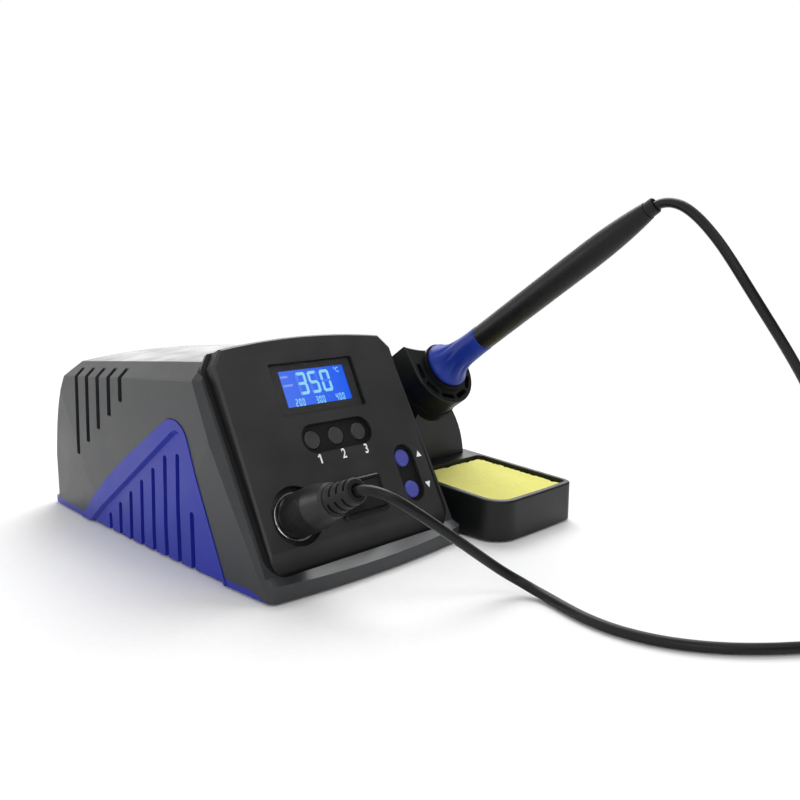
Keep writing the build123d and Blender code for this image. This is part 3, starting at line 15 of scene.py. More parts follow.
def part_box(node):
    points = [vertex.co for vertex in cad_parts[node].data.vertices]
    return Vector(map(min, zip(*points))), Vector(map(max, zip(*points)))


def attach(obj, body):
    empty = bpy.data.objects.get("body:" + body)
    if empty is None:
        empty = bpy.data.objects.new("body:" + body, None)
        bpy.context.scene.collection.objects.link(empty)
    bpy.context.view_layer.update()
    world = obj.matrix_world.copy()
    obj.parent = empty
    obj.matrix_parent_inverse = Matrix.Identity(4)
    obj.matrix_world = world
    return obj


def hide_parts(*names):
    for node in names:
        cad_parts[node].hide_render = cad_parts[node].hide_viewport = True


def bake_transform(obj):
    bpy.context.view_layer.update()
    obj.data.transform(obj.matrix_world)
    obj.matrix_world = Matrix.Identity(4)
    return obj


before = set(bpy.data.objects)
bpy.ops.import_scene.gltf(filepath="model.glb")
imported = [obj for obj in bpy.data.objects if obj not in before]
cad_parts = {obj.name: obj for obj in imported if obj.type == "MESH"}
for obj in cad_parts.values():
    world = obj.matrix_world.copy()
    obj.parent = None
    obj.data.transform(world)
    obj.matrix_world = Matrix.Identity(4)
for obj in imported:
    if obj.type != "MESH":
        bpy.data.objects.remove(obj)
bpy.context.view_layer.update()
MM = 0.001                     # one millimetre, in Blender's metres

# %% [markdown]
# Everything is placed from the front panel, because most of the work is on it.  The panel leans back, so a
# small frame of its own helps: `u` runs across it, `v` up its slope, and the third axis points out of it.
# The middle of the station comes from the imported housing.

# %% Panel frame
panel_lean = math.radians(26.85)
housing_low, housing_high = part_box("upper_housing")
station_x = (housing_low.x + housing_high.x) / 2
sill_y = -63.5356 * MM         # the line where the panel's face would meet the bench
across = Vector((1, 0, 0))
panel_up = Vector((0, math.sin(panel_lean), math.cos(panel_lean)))
panel_out = Vector((0, -math.cos(panel_lean), math.sin(panel_lean)))


def on_panel(u, v, out=0.0):
    """Point on the panel, in metres, from millimetres across, up the slope and out of the face."""
    return Vector((station_x, sill_y, 0)) + MM * (u * across + v * panel_up + out * panel_out)


def panel_matrix(u, v, out=0.0):
    """Places a flat piece, modelled in XY, on the panel."""
    matrix = Matrix((across, panel_up, panel_out)).transposed().to_4x4()
    matrix.translation = on_panel(u, v, out)
    return matrix


print("station centre x in mm:", round(station_x / MM, 2))

# %% [markdown]
# ## Camera
# A close look from the left front through a normal lens, from a little above the station.  The camera is
# turned by a yaw and a pitch, and by the tiny roll of a hand that held it.

# %% Camera
camera_data = bpy.data.cameras.new("bench_camera")
camera_data.lens = 38.24
camera_data.sensor_width = 36.0
camera_data.clip_start = 0.01
camera = bpy.data.objects.new("bench_camera", camera_data)
bpy.context.scene.collection.objects.link(camera)
bpy.context.scene.camera = camera
yaw, pitch, roll = (math.radians(angle) for angle in (44.916, 10.092, 0.348))
forward = Vector((math.sin(yaw) * math.cos(pitch), math.cos(yaw) * math.cos(pitch), -math.sin(pitch)))
right = Vector((math.cos(yaw), -math.sin(yaw), 0))
above = right.cross(forward)
camera_x = math.cos(roll) * right + math.sin(roll) * above
camera_y = math.cos(roll) * above - math.sin(roll) * right
camera.matrix_world = Matrix((camera_x, camera_y, -forward)).transposed().to_4x4()
camera.location = (-0.26275, -0.30804, 0.1329)
print("camera at", [round(c, 3) for c in camera.location])

# %% [markdown]
# ## The cord
# The iron's cord is 1.2 m of limp silicone cable, 4 mm thick.  It leaves the plug's boot, falls to the bench,
# and its spare length is wound in a neat coil of about five turns.  From the coil it climbs to the iron.
# A NURBS curve gives each stretch one smooth line through a few control points, as a heavy cord hangs.

# %% Cord
CORD = 4.0                     # its diameter, in millimetres


def cord_curve(name, points):
    """Round cord on a smooth line with these control points, in millimetres."""
    data = bpy.data.curves.new(name, "CURVE")
    data.dimensions = "3D"
    data.bevel_depth = CORD / 2 * MM
    data.bevel_resolution = 5
    data.resolution_u = 8
    data.use_fill_caps = True
    spline = data.splines.new("NURBS")
    spline.points.add(len(points) - 1)
    for control, point in zip(spline.points, points):
        control.co = (point[0] * MM, point[1] * MM, point[2] * MM, 1)
    spline.order_u = 3
    spline.use_endpoint_u = True
    cord = bpy.data.objects.new(name, data)
    bpy.context.scene.collection.objects.link(cord)
    return cord


# %% [markdown]
# The coil's turns lie beside and on each other, about a diameter apart.  It is wound in three layers: the
# first spirals inwards on the bench, the second outwards on top of it, and the third inwards again.  A NURBS
# curve runs a little inside its control points, so they stand out from the winding by that much.

# %% Coil
coil_x, coil_y = 106.0, -223.0
turns = 5.396
turn_step = 4.15               # from the middle of one turn to the next
outer_turn = 25.3
inner_turn = outer_turn - 2 * turn_step
points_a_turn = 16
first_end, second_end = 2.0, 4.2  # the first two layers end after so many turns
step_up = 0.2                  # part of a turn in which the cord climbs a layer
lift_from, lift_over = 5.1, 0.3  # where the end lifts off, and over how much of a turn
end_lift = 3.4                 # and how high, in millimetres


def ramp(turn, start, over):
    """From 0 to 1 over part of a turn."""
    return min(max((turn - start) / over, 0), 1)


def coil_radius(turn):
    """Radius of the winding after so many turns: in, out, and in again."""
    if turn < first_end:
        return outer_turn - turn_step * turn
    if turn < first_end + step_up:
        return inner_turn
    if turn < second_end:
        return inner_turn + turn_step * (turn - first_end - step_up)
    if turn < second_end + step_up:
        return outer_turn
    return outer_turn - turn_step * (turn - second_end - step_up)


def coil_height(turn):
    """Height of the winding: each layer lies one cord above the last, and the end lifts off."""
    layer = ramp(turn, first_end, step_up) + ramp(turn, second_end, step_up)
    return CORD / 2 + CORD * layer + end_lift * ramp(turn, lift_from, lift_over) ** 2


def coil_points():
    """Control points of the winding, from its first turn to where it lifts off."""
    stand_out = 1 / math.cos(math.pi / points_a_turn)
    points = []
    for i in range(1, round(turns * points_a_turn) + 1):
        turn = i / points_a_turn
        angle = math.radians(-90 + 360 * turn)
        radius = coil_radius(turn) * stand_out
        x, y = coil_x + radius * math.cos(angle), coil_y + radius * math.sin(angle)
        points.append((x, y, coil_height(turn)))
    return points


lead_points = [
    (-61.8, -82.1, 43.42), (-61.8, -84.6, 45.86), (-60.4, -89.6, 46.8), (-57.8, -94.4, 45.8),
    (-54.2, -98.1, 43.2), (-48.9, -101.4, 38.9), (-42.2, -104.5, 33.4), (-34.6, -107.4, 27.2),
    (-26.4, -109.9, 20.6), (-18.6, -111.9, 14.4), (-12.2, -114.5, 9.2), (-7.8, -118.7, 5.6),
    (-5.8, -124.5, 3.1), (-6.2, -131.7, 2.1), (-8.8, -140.6, 2.0), (-11.6, -151.6, 2.0),
    (-12.4, -164.6, 2.0), (-9.4, -178.6, 2.0), (-2.0, -192.6, 2.0), (9.0, -205.1, 2.0),
    (23.0, -216.6, 2.0), (38.5, -226.6, 2.0), (55.5, -234.9, 2.0), (72.0, -240.6, 2.0), (84.4, -243.2, 2.1),
]
rise_points = [
    (59.8, -126.32, 148.05), (59.8, -130.78, 151.1), (59.8, -136.4, 152.1), (59.7, -142.5, 150.5),
    (59.6, -148.3, 146.6), (59.5, -153.8, 141.5), (59.5, -159.3, 135.4), (59.8, -164.4, 128.6),
    (61.4, -169.3, 120.8), (65.0, -174.2, 111.8), (70.4, -178.9, 102.0), (77.0, -183.4, 91.4),
    (84.2, -187.5, 80.0), (91.2, -191.1, 67.4), (97.6, -194.1, 54.6), (103.2, -196.8, 42.0),
    (108.2, -199.7, 30.2), (113.0, -202.9, 21.5), (118.6, -206.5, 15.0),
]
wound_points = [
    lead_points[-1], (95.5, -246.2, 2.1), *coil_points(), (122.4, -209.2, 13.4), rise_points[-1],
]
lead = cord_curve("iron_cord_lead", lead_points)
wound = cord_curve("iron_cord_coil", wound_points)
rise = cord_curve("iron_cord_rise", rise_points)
print("control points:", len(lead_points), len(wound_points), len(rise_points))

# %% [markdown]
# ## Finishes
# Nearly everything here is injection moulded plastic.  The mould gives each part its skin: the housings have
# a fine spark eroded grain, the switch and the inlet are smoother, and the stand is a plainer satin black.
# Colours are written as sRGB hex values, and one function turns them to the linear values that shaders use.

# %% Colour and node helpers
def linear(hex_code):
    """Linear colour of an sRGB hex value."""
    channels = [int(hex_code[i:i + 2], 16) / 255 for i in (1, 3, 5)]
    return tuple(c / 12.92 if c <= 0.04045 else ((c + 0.055) / 1.055) ** 2.4 for c in channels) + (1,)


def add_node(tree, kind, values=None, links=None, **settings):
    """Adds a node, with its settings, its socket values and the outputs that feed it."""
    made = tree.nodes.new(kind)
    for name, value in settings.items():
        setattr(made, name, value)
    for socket, value in (values or {}).items():
        made.inputs[socket].default_value = value
    for socket, source in (links or {}).items():
        tree.links.new(source, made.inputs[socket])
    return made


def new_material(name):
    """Empty node material: returns it, its tree, its Principled shader and the object coordinates."""
    material = bpy.data.materials.new(name)
    material.use_nodes = True
    tree = material.node_tree
    tree.nodes.clear()
    shader = add_node(tree, "ShaderNodeBsdfPrincipled")
    add_node(tree, "ShaderNodeOutputMaterial", links={"Surface": shader.outputs["BSDF"]})
    place = add_node(tree, "ShaderNodeTexCoord").outputs["Object"]
    return material, tree, shader, place


print("node helpers: linear, add_node, new_material")

# %% [markdown]
# A moulded skin has three things: a grain that breaks up the highlight, slow patches where the surface is a
# little shinier from handling, and a slight drift of colour.  The real grain is about 0.1 mm, too fine to
# show at this distance, so it is drawn at about half a millimetre.

# %% Moulded plastic
def moulded(name, colour, second, rough, grain=0.5, depth=0.02, patch=18.0, swing=0.06, gloss=0.4, coat=0.0):
    """Moulded plastic: grain and patch sizes and the grain's depth are in millimetres."""
    material, tree, shader, place = new_material(name)
    skin = add_node(tree, "ShaderNodeTexNoise", {"Scale": 1 / (grain * MM), "Detail": 2.0},
                    {"Vector": place})
    patches = add_node(tree, "ShaderNodeTexNoise", {"Scale": 1 / (patch * MM), "Detail": 3.0},
                       {"Vector": place})
    tone = add_node(tree, "ShaderNodeMapRange", {"From Min": 0.3, "From Max": 0.7},
                    {"Value": patches.outputs["Fac"]})
    mixed = add_node(tree, "ShaderNodeMix", {"A": linear(colour), "B": linear(second)},
                     {"Factor": tone.outputs["Result"]}, data_type="RGBA")
    shine = add_node(tree, "ShaderNodeMapRange",
                     {"From Min": 0.3, "From Max": 0.7, "To Min": rough - swing, "To Max": rough + swing},
                     {"Value": patches.outputs["Fac"]})
    bump = add_node(tree, "ShaderNodeBump", {"Strength": 1.0, "Distance": depth * MM},
                    {"Height": skin.outputs["Fac"]})
    tree.links.new(mixed.outputs["Result"], shader.inputs["Base Color"])
    tree.links.new(shine.outputs["Result"], shader.inputs["Roughness"])
    tree.links.new(bump.outputs["Normal"], shader.inputs["Normal"])
    shader.inputs["IOR"].default_value = 1.5
    shader.inputs["Specular IOR Level"].default_value = gloss
    shader.inputs["Coat Weight"].default_value = coat
    shader.inputs["Coat Roughness"].default_value = 0.12
    return material


# the upper housing: ABS, satin, from a spark eroded mould
charcoal_abs = moulded("moulded_abs_charcoal", "#2f3032", "#353638", 0.34, grain=0.45, depth=0.016)
# the front panel: a blacker and duller ABS
black_panel_abs = moulded("moulded_abs_black_panel", "#29292a", "#2e2e2f", 0.44, grain=0.5, depth=0.012)
# the lower housing: ABS dyed royal blue, its sides in a fine grain
blue_abs = moulded("moulded_abs_royal_blue", "#232c98", "#2832a3", 0.38, grain=0.45, depth=0.014, gloss=0.3)
# the up and down keys, and the three preset keys: ABS, rubbed by fingers in small patches
violet_keys = moulded("moulded_abs_violet_keys", "#454898", "#4c4fa2", 0.42, grain=0.4, patch=5.0)
dark_keys = moulded("moulded_abs_dark_keys", "#353536", "#3a3a3b", 0.46, grain=0.4, patch=5.0)
# the stand and its holder: satin black polypropylene
stand_plastic = moulded("moulded_pp_black_stand", "#121314", "#161718", 0.38, grain=0.6, depth=0.015,
                        gloss=0.3)
# the switch, the inlet and the fuse drawer: smooth black nylon
switch_plastic = moulded("moulded_nylon_black_switch", "#141415", "#19191a", 0.30, grain=0.3, depth=0.005)
# the plug and the socket: black PVC, a little matt
plug_plastic = moulded("moulded_pvc_black_plug", "#171718", "#1c1c1d", 0.42, grain=0.35, depth=0.012)
# the iron's handle and nut: black phenolic resin, which stands the heat
handle_plastic = moulded("moulded_bakelite_black_handle", "#0f0f10", "#141415", 0.42, grain=0.5,
                         depth=0.014, gloss=0.25)
# the mask round the display: dull grey ABS
mask_plastic = moulded("moulded_abs_display_mask", "#4a4a49", "#4e4e4d", 0.55, grain=0.4, depth=0.008)
# the heater: fired alumina, unglazed
ceramic = moulded("fired_alumina_ceramic", "#e3ded2", "#d5cfc0", 0.55, grain=0.3, depth=0.01)
print("moulded finishes:", sum(m.name.startswith("moulded") for m in bpy.data.materials))

# %% [markdown]
# The pockets round the keys carry painted shade: they are painted darker than the face, for the shadow in
# them.
# A pocket is whatever lies below the face of the panel, so the depth below it chooses the colour: a dot
# product with the direction out of the panel gives that depth.

# %% Panel pockets
shade_start, shade_full = 0.5, 1.7  # millimetres below the face: where the dark begins, and is full
pocket_tree = black_panel_abs.node_tree
pocket_shader = next(n for n in pocket_tree.nodes if n.type == "BSDF_PRINCIPLED")
face_colour = pocket_shader.inputs["Base Color"].links[0].from_socket
depth_below = add_node(pocket_tree, "ShaderNodeVectorMath", operation="DOT_PRODUCT")
pocket_tree.links.new(next(n for n in pocket_tree.nodes if n.type == "TEX_COORD").outputs["Object"],
                      depth_below.inputs[0])
depth_below.inputs[1].default_value = panel_out
face_level = on_panel(0, 0).dot(panel_out)
pocket_shade_mask = add_node(pocket_tree, "ShaderNodeMapRange",
                {"From Min": face_level - shade_full * MM, "From Max": face_level - shade_start * MM},
                {"Value": depth_below.outputs["Value"]})
# painted shade: the pockets go to near black with their depth below the face, standing in for their shadow
shaded_pocket_colour = add_node(pocket_tree, "ShaderNodeMix", {"A": linear("#0e0e0f")},
                    {"Factor": pocket_shade_mask.outputs["Result"], "B": face_colour}, data_type="RGBA")
pocket_tree.links.new(shaded_pocket_colour.outputs["Result"], pocket_shader.inputs["Base Color"])
print("pockets dark from", shade_start, "to", shade_full, "mm below the face")

# %% [markdown]
# Rubber scatters light a little more broadly than plastic, so it has a faint sheen on top.  The silicone
# cord has less of that sheen, and the silicone grip has none.

# %% Rubber and silicone
def rubbery(name, colour, second, rough, sheen, patch=9.0):
    """Rubber or silicone: made like the plastics, with a coarser grain and a share of sheen."""
    material = moulded(name, colour, second, rough, grain=0.7, depth=0.02, patch=patch, swing=0.05,
                       gloss=0.25)
    shader = next(n for n in material.node_tree.nodes if n.type == "BSDF_PRINCIPLED")
    shader.inputs["Sheen Weight"].default_value = sheen
    shader.inputs["Sheen Roughness"].default_value = 0.4
    return material


# feet, the plug's strain relief and the iron's tail: black rubber, matt
black_rubber = rubbery("moulded_rubber_black", "#151516", "#1c1c1d", 0.58, sheen=0.1)
# the grip: royal blue silicone with a satin skin
grip_silicone = rubbery("moulded_silicone_blue_grip", "#162f8c", "#1b3699", 0.44, sheen=0.0, patch=12.0)
# the cord: extruded black silicone, a little shinier than the other two
cord_silicone = rubbery("extruded_silicone_black_cord", "#101011", "#151516", 0.38, sheen=0.03, patch=25.0)
soft = (black_rubber, grip_silicone, cord_silicone)
print("rubbers and silicones:", len(soft))

# %% [markdown]
# Metals keep their own colour in the reflection.  A drawn or turned metal has fine uneven marks, which
# spread the highlight, and the tip's barrel is tinted straw and violet where it gets hot.

# %% Metals
def metal(name, colour, second, rough, line=0.4, depth=0.004, patch=6.0):
    """Worked metal with fine uneven marks and slow changes of tint."""
    material, tree, shader, place = new_material(name)
    marks = add_node(tree, "ShaderNodeTexNoise", {"Scale": 1 / (line * MM), "Detail": 4.0},
                     {"Vector": place})
    stain = add_node(tree, "ShaderNodeTexNoise", {"Scale": 1 / (patch * MM), "Detail": 2.0},
                     {"Vector": place})
    mixed = add_node(tree, "ShaderNodeMix", {"A": linear(colour), "B": linear(second)},
                     {"Factor": stain.outputs["Fac"]}, data_type="RGBA")
    shine = add_node(tree, "ShaderNodeMapRange", {"To Min": max(rough - 0.08, 0.02), "To Max": rough + 0.08},
                     {"Value": marks.outputs["Fac"]})
    bump = add_node(tree, "ShaderNodeBump", {"Strength": 1.0, "Distance": depth * MM},
                    {"Height": marks.outputs["Fac"]})
    tree.links.new(mixed.outputs["Result"], shader.inputs["Base Color"])
    tree.links.new(shine.outputs["Result"], shader.inputs["Roughness"])
    tree.links.new(bump.outputs["Normal"], shader.inputs["Normal"])
    shader.inputs["Metallic"].default_value = 1.0
    return material


chrome_plate = metal("chrome_plate_bright", "#d8d9db", "#cfd0d3", 0.1, depth=0.001)  # socket ring, bright
nickel_plate = metal("nickel_plate_satin", "#c9c4b8", "#bab4a6", 0.24)  # contacts and nuts, satin
zinc_plate = metal("zinc_plated_steel", "#b4b6ba", "#a3a6ab", 0.34)  # sleeve and screws, drawn steel
stainless = metal("stainless_heat_tinted", "#b9a98c", "#8d86a0", 0.3, patch=9.0)  # barrel, tinted by heat
iron_plate = metal("iron_plated_tip", "#8f9095", "#6f6a66", 0.38, patch=3.0)  # tip, dulled by use
silicon_steel = metal("varnished_silicon_steel", "#5a5c60", "#4b4d52", 0.5)  # core, under its varnish
metals = (chrome_plate, nickel_plate, zinc_plate, stainless, iron_plate, silicon_steel)
print("metals:", len(metals))

# %% [markdown]
# The remaining finishes are for what sits inside the station, and for glass: the circuit boards' green
# solder mask, the transformer's yellow tape, the fuse, and the clear window over the display.

# %% Boards, tape and glass
# circuit boards: green solder mask with a clear gloss; parts on them: dark epoxy
solder_mask = moulded("solder_mask_green", "#12562c", "#176435", 0.3, grain=1.2, depth=0.01, coat=0.4)
component_epoxy = moulded("component_epoxy_dark", "#26272b", "#303136", 0.4, grain=0.5)
# the transformer's winding: yellow polyester tape; behind the display: milky acrylic
polyester_tape = moulded("polyester_tape_yellow", "#b58a1c", "#c79a26", 0.3, grain=2.0, depth=0.03, coat=0.3)
milky_acrylic = moulded("milky_acrylic_diffuser", "#e8edf2", "#dfe6ee", 0.5)

# the window: clear acrylic, slightly smoked
clear_acrylic, _, window_shader, _ = new_material("clear_acrylic_window")
window_shader.inputs["Base Color"].default_value = linear("#2b2b2a")
window_shader.inputs["Roughness"].default_value = 0.12
window_shader.inputs["IOR"].default_value = 1.49
window_shader.inputs["Alpha"].default_value = 0.22

# the fuse: a thin tube of clear glass
fuse_glass, _, fuse_shader, _ = new_material("borosilicate_fuse_glass")
fuse_shader.inputs["Base Color"].default_value = linear("#dfe8e6")
fuse_shader.inputs["Roughness"].default_value = 0.05
fuse_shader.inputs["Alpha"].default_value = 0.35
clear = [round(1 - shader.inputs["Alpha"].default_value, 2) for shader in (window_shader, fuse_shader)]
print("share of light straight through the window and the fuse:", clear)

# %% [markdown]
# The sponge is regenerated cellulose: dyed yellow, matt, full of pores, and stained a little darker in
# patches where the tip has been wiped.  Its pores are the cells of a Voronoi pattern.

# %% Sponge material
pore_size, stain_size = 1.6, 14.0  # in millimetres
sponge_cellulose, sponge_tree, sponge_shader, sponge_place = new_material("cellulose_sponge_yellow")
cells = add_node(sponge_tree, "ShaderNodeTexVoronoi", {"Scale": 1 / (pore_size * MM)},
                 {"Vector": sponge_place})
stains = add_node(sponge_tree, "ShaderNodeTexNoise", {"Scale": 1 / (stain_size * MM), "Detail": 4.0},
                  {"Vector": sponge_place})
dyed = add_node(sponge_tree, "ShaderNodeMix", {"A": linear("#e3df7a"), "B": linear("#d6d35c")},
                {"Factor": stains.outputs["Fac"]}, data_type="RGBA")
pore = add_node(sponge_tree, "ShaderNodeMapRange", {"From Min": 0.05, "From Max": 0.35, "To Min": 0.6},
                {"Value": cells.outputs["Distance"]})
# painted shade: the middle of each pore is painted a darker yellow, for the shadow in the hole
pore_shaded_colour = add_node(sponge_tree, "ShaderNodeMix", {"A": linear("#b9b24a")},
                 {"Factor": pore.outputs["Result"], "B": dyed.outputs["Result"]}, data_type="RGBA")
sponge_bump = add_node(sponge_tree, "ShaderNodeBump", {"Strength": 0.6, "Distance": 0.3 * MM},
                       {"Height": pore.outputs["Result"]})
sponge_tree.links.new(pore_shaded_colour.outputs["Result"], sponge_shader.inputs["Base Color"])
sponge_tree.links.new(sponge_bump.outputs["Normal"], sponge_shader.inputs["Normal"])
sponge_shader.inputs["Roughness"].default_value = 0.9
sponge_shader.inputs["Sheen Weight"].default_value = 0.2
print("materials so far, with the ones that came with the frame:", len(bpy.data.materials))

# %% [markdown]
# The display is backlit.  Its blue is brightest and slightly violet near the lamp at the left and deepens to
# the right, so the colour runs along x, in the object's own coordinates.

# %% Lit display
glow_left, glow_right = -17.7, 18.9  # the colour runs between these, in millimetres across the panel


def lit(name, left, right, strength):
    """Glowing display film whose colour changes across the display."""
    material, tree, shader, place = new_material(name)
    split = add_node(tree, "ShaderNodeSeparateXYZ", links={"Vector": place})
    share = add_node(tree, "ShaderNodeMapRange",
                     {"From Min": on_panel(glow_left, 0).x, "From Max": on_panel(glow_right, 0).x},
                     {"Value": split.outputs["X"]})
    glow = add_node(tree, "ShaderNodeMix", {"A": linear(left), "B": linear(right)},
                    {"Factor": share.outputs["Result"]}, data_type="RGBA")
    tree.links.new(glow.outputs["Result"], shader.inputs["Emission Color"])
    shader.inputs["Emission Strength"].default_value = strength
    shader.inputs["Base Color"].default_value = linear("#0b2f9a")
    shader.inputs["Roughness"].default_value = 0.2
    return material


display_blue = lit("lit_display_blue", "#5580ff", "#1c66ff", 1.2)
display_ghost = lit("lit_display_unlit_segment", "#6a90ff", "#3a7cff", 1.25)
display_pale = lit("lit_display_pale_bar", "#93adff", "#86b4ff", 1.2)
display_cyan = lit("lit_display_cyan_segment", "#a6ecff", "#98e6ff", 1.3)
print("lit films:", sum(m.name.startswith("lit") for m in bpy.data.materials))

# %% [markdown]
# ## Finish of each solid
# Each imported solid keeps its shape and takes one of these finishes.  The grip and the sponge have one too,
# though a piece with more detail stands for each of them further on.  The cord's three solids have none,
# because the modelled cord stands for them.

# %% Finish of each solid
finishes = {
    "upper_housing": charcoal_abs, "lower_housing": blue_abs, "front_panel": black_panel_abs,
    "station_feet": black_rubber, "stand_feet": black_rubber, "case_screws": zinc_plate,
    "lcd_window": clear_acrylic, "lcd_frame": mask_plastic, "lcd_glass": display_blue,
    "lcd_backlight": milky_acrylic, "display_board": solder_mask, "tact_switches": component_epoxy,
    "preset_button_1": dark_keys, "preset_button_2": dark_keys, "preset_button_3": dark_keys,
    "up_button": violet_keys, "down_button": violet_keys,
    "power_switch": switch_plastic, "power_rocker": switch_plastic,
    "socket_body": plug_plastic, "socket_ring": chrome_plate, "socket_nut": nickel_plate,
    "plug_shell": plug_plastic, "plug_boot": black_rubber,
    "mains_inlet": switch_plastic, "inlet_blades": nickel_plate, "fuse_drawer": switch_plastic,
    "fuse": fuse_glass,
    "ground_jack": nickel_plate, "ground_jack_nut": nickel_plate,
    "main_board": solder_mask, "main_board_parts": component_epoxy,
    "transformer_core": silicon_steel, "transformer_coil": polyester_tape,
    "stand_base": stand_plastic, "holder_shroud": stand_plastic, "holder_sleeve": zinc_plate,
    "iron_handle": handle_plastic, "iron_tail": black_rubber, "iron_nut": handle_plastic,
    "iron_grip": grip_silicone, "sponge": sponge_cellulose,
    "iron_barrel": stainless, "iron_heater": ceramic, "iron_tip": iron_plate,
}
for node, finish in finishes.items():
    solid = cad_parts[node]
    for i in range(len(solid.material_slots)):
        solid.material_slots[i].material = finish
print("solids with a finish:", len(finishes), "of", len(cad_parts))

# %% [markdown]
# ## Helpers for the modelled pieces
# Most of the added pieces start as a bmesh.  Its doubles are merged and its faces turned outwards, and it
# becomes an object that rides on a body.  Round pieces are then shaded smooth, apart from their creases.

# %% Piece helpers
def make_object(name, mesh, material, body):
    """Object for a mesh in its final place, with its finish and the body that it rides on."""
    piece = bpy.data.objects.new(name, mesh)
    bpy.context.scene.collection.objects.link(piece)
    piece.data.materials.clear()
    piece.data.materials.append(material)
    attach(piece, body)
    return piece


def finish_mesh(name, form):
    """Mesh from a bmesh, with its doubles merged and its faces turned outwards."""
    bmesh.ops.remove_doubles(form, verts=form.verts, dist=1e-7)
    bmesh.ops.recalc_face_normals(form, faces=form.faces)
    mesh = bpy.data.meshes.new(name)
    form.to_mesh(mesh)
    form.free()
    return mesh


def smooth(piece, angle=35):
    """Smooth shading, with creases sharper than the angle kept."""
    for face in piece.data.polygons:
        face.use_smooth = True
    piece.data.set_sharp_from_angle(angle=math.radians(angle))
    return piece


print("piece helpers: make_object, finish_mesh, smooth")

# %% [markdown]
# ## The cord's two hanging stretches become tubes
# The first stretch hangs from the plug and comes to rest on the bench, and the last one hangs from the iron
# and ends in the coil.  Both stretches become mesh tubes in place of the imported solids, which are hidden.

# %% Cord tubes
def cord_tube(curve, solid):
    """Tube and centreline of a cord's curve, which stands for the imported solid; that solid is hidden."""
    name = curve.name
    curve.data.bevel_depth = 0
    line = bpy.data.meshes.new_from_object(curve)
    path = [tuple(vertex.co) for vertex in line.vertices]
    curve.data.bevel_depth = CORD / 2 * MM
    form = bmesh.new()
    form.from_mesh(bpy.data.meshes.new_from_object(curve))
    bpy.data.objects.remove(curve)
    tube = bpy.data.objects.new(name, finish_mesh(name, form))
    bpy.context.scene.collection.objects.link(tube)
    tube.data.materials.clear()
    tube.data.materials.append(cord_silicone)
    smooth(tube)
    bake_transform(tube)
    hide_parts(solid)
    return tube, path


lead, lead_path = cord_tube(lead, "cord_lead")
rise, rise_path = cord_tube(rise, "cord_rise")
wound.data.materials.append(cord_silicone)
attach(wound, "root")
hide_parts("cord_coil")
print("points along the tubes:", len(lead_path), len(rise_path))

# %% [markdown]
# ## Legends and the display's figures
# The printed legends are a thin layer of pale ink.  Plain figures mark the keys, and two arrows mark the
# keys that raise and lower the temperature.  The figures 2 and 3 start as text objects, which become meshes
# before they are put in their places.

# %% Printed legends
# screen printing ink: pale grey and matt
ink = moulded("screen_ink_pale_grey", "#e6e7e8", "#eeeeef", 0.5, grain=0.3, depth=0.004)
INK = 0.03                     # thickness of the ink, in millimetres
CAP_SHARE = 0.72               # a figure's height, as a share of the font's size
key_pitch, middle_key = 13.0, 1.6  # the preset keys, in millimetres across the panel
legend_height, legend_v = 4.3, 51.9
arrow_u, arrow_radius = 44.0, 1.9


def printed_word(name, word, u, v, height, out=0.0, finish=ink, squeeze=0.8, weight=0.05):
    """Figure printed on the panel or shown on the display, as a thin layer: sizes in millimetres."""
    text = bpy.data.curves.new(name, "FONT")
    text.body = word
    text.size = height / CAP_SHARE
    text.align_x = text.align_y = "CENTER"
    text.extrude = INK
    text.offset = weight
    holder = bpy.data.objects.new(name + "_text", text)
    bpy.context.scene.collection.objects.link(holder)
    mesh = bpy.data.meshes.new_from_object(holder)
    bpy.data.objects.remove(holder)
    mesh.transform(Matrix.Diagonal((squeeze * MM, MM, MM, 1)))
    mesh.transform(panel_matrix(u, v, out))
    return make_object(name, mesh, finish, "root")


def printed_arrow(name, u, v, turn):
    """Solid triangle, point up or down."""
    form = bmesh.new()
    bmesh.ops.create_cone(form, cap_ends=True, segments=3, radius1=arrow_radius, radius2=arrow_radius,
                          depth=2 * INK)
    bmesh.ops.scale(form, vec=(MM, MM, MM), verts=form.verts)
    bmesh.ops.rotate(form, cent=(0, 0, 0), matrix=Matrix.Rotation(math.radians(turn), 3, "Z"),
                     verts=form.verts)
    bmesh.ops.transform(form, matrix=panel_matrix(u, v), verts=form.verts)
    return make_object(name, finish_mesh(name, form), ink, "root")


for i in (1, 2):
    printed_word(f"legend_key_{i + 1}", str(i + 1), middle_key + (i - 1) * key_pitch, legend_v,
                 legend_height, weight=0.12)
printed_arrow("legend_up", arrow_u, 44.2, 0)
printed_arrow("legend_down", arrow_u, 30.2, 180)

# %% [markdown]
# The display has seven segment figures.  Each segment is a thin plate with pointed ends: one flat cell,
# whose corners are bevelled off before it gets its thickness.  Segments that aren't lit still show faintly
# over the backlight.

# %% Seven segment figures
POINTED = 0.42                 # how far a segment's corners are cut off, as a share of its width
UPPER, LOWER = 0.74, 0.26      # middles of the upright segments, as shares of a figure's height
UPRIGHT = 0.46                 # their length, as a share of it too
SEGMENTS = {
    "0": "abcdef", "1": "bc", "2": "abged", "3": "abgcd", "4": "fgbc", "5": "afgcd", "6": "afgedc",
    "7": "abc", "8": "abcdefg", "9": "abcdfg",
}


def segment(form, x, y, length, thick, upright):
    """Adds one pointed segment, centred on x, y: a flat cell whose corners are cut off."""
    made = bmesh.ops.create_grid(form, x_segments=1, y_segments=1, size=0.5)["verts"]
    size = (thick, length, 1) if upright else (length, thick, 1)
    bmesh.ops.scale(form, vec=size, verts=made)
    bmesh.ops.translate(form, vec=(x, y, 0), verts=made)
    bmesh.ops.bevel(form, geom=made, offset=POINTED * thick, segments=1, profile=0.5, affect="VERTICES",
                    material=-1)


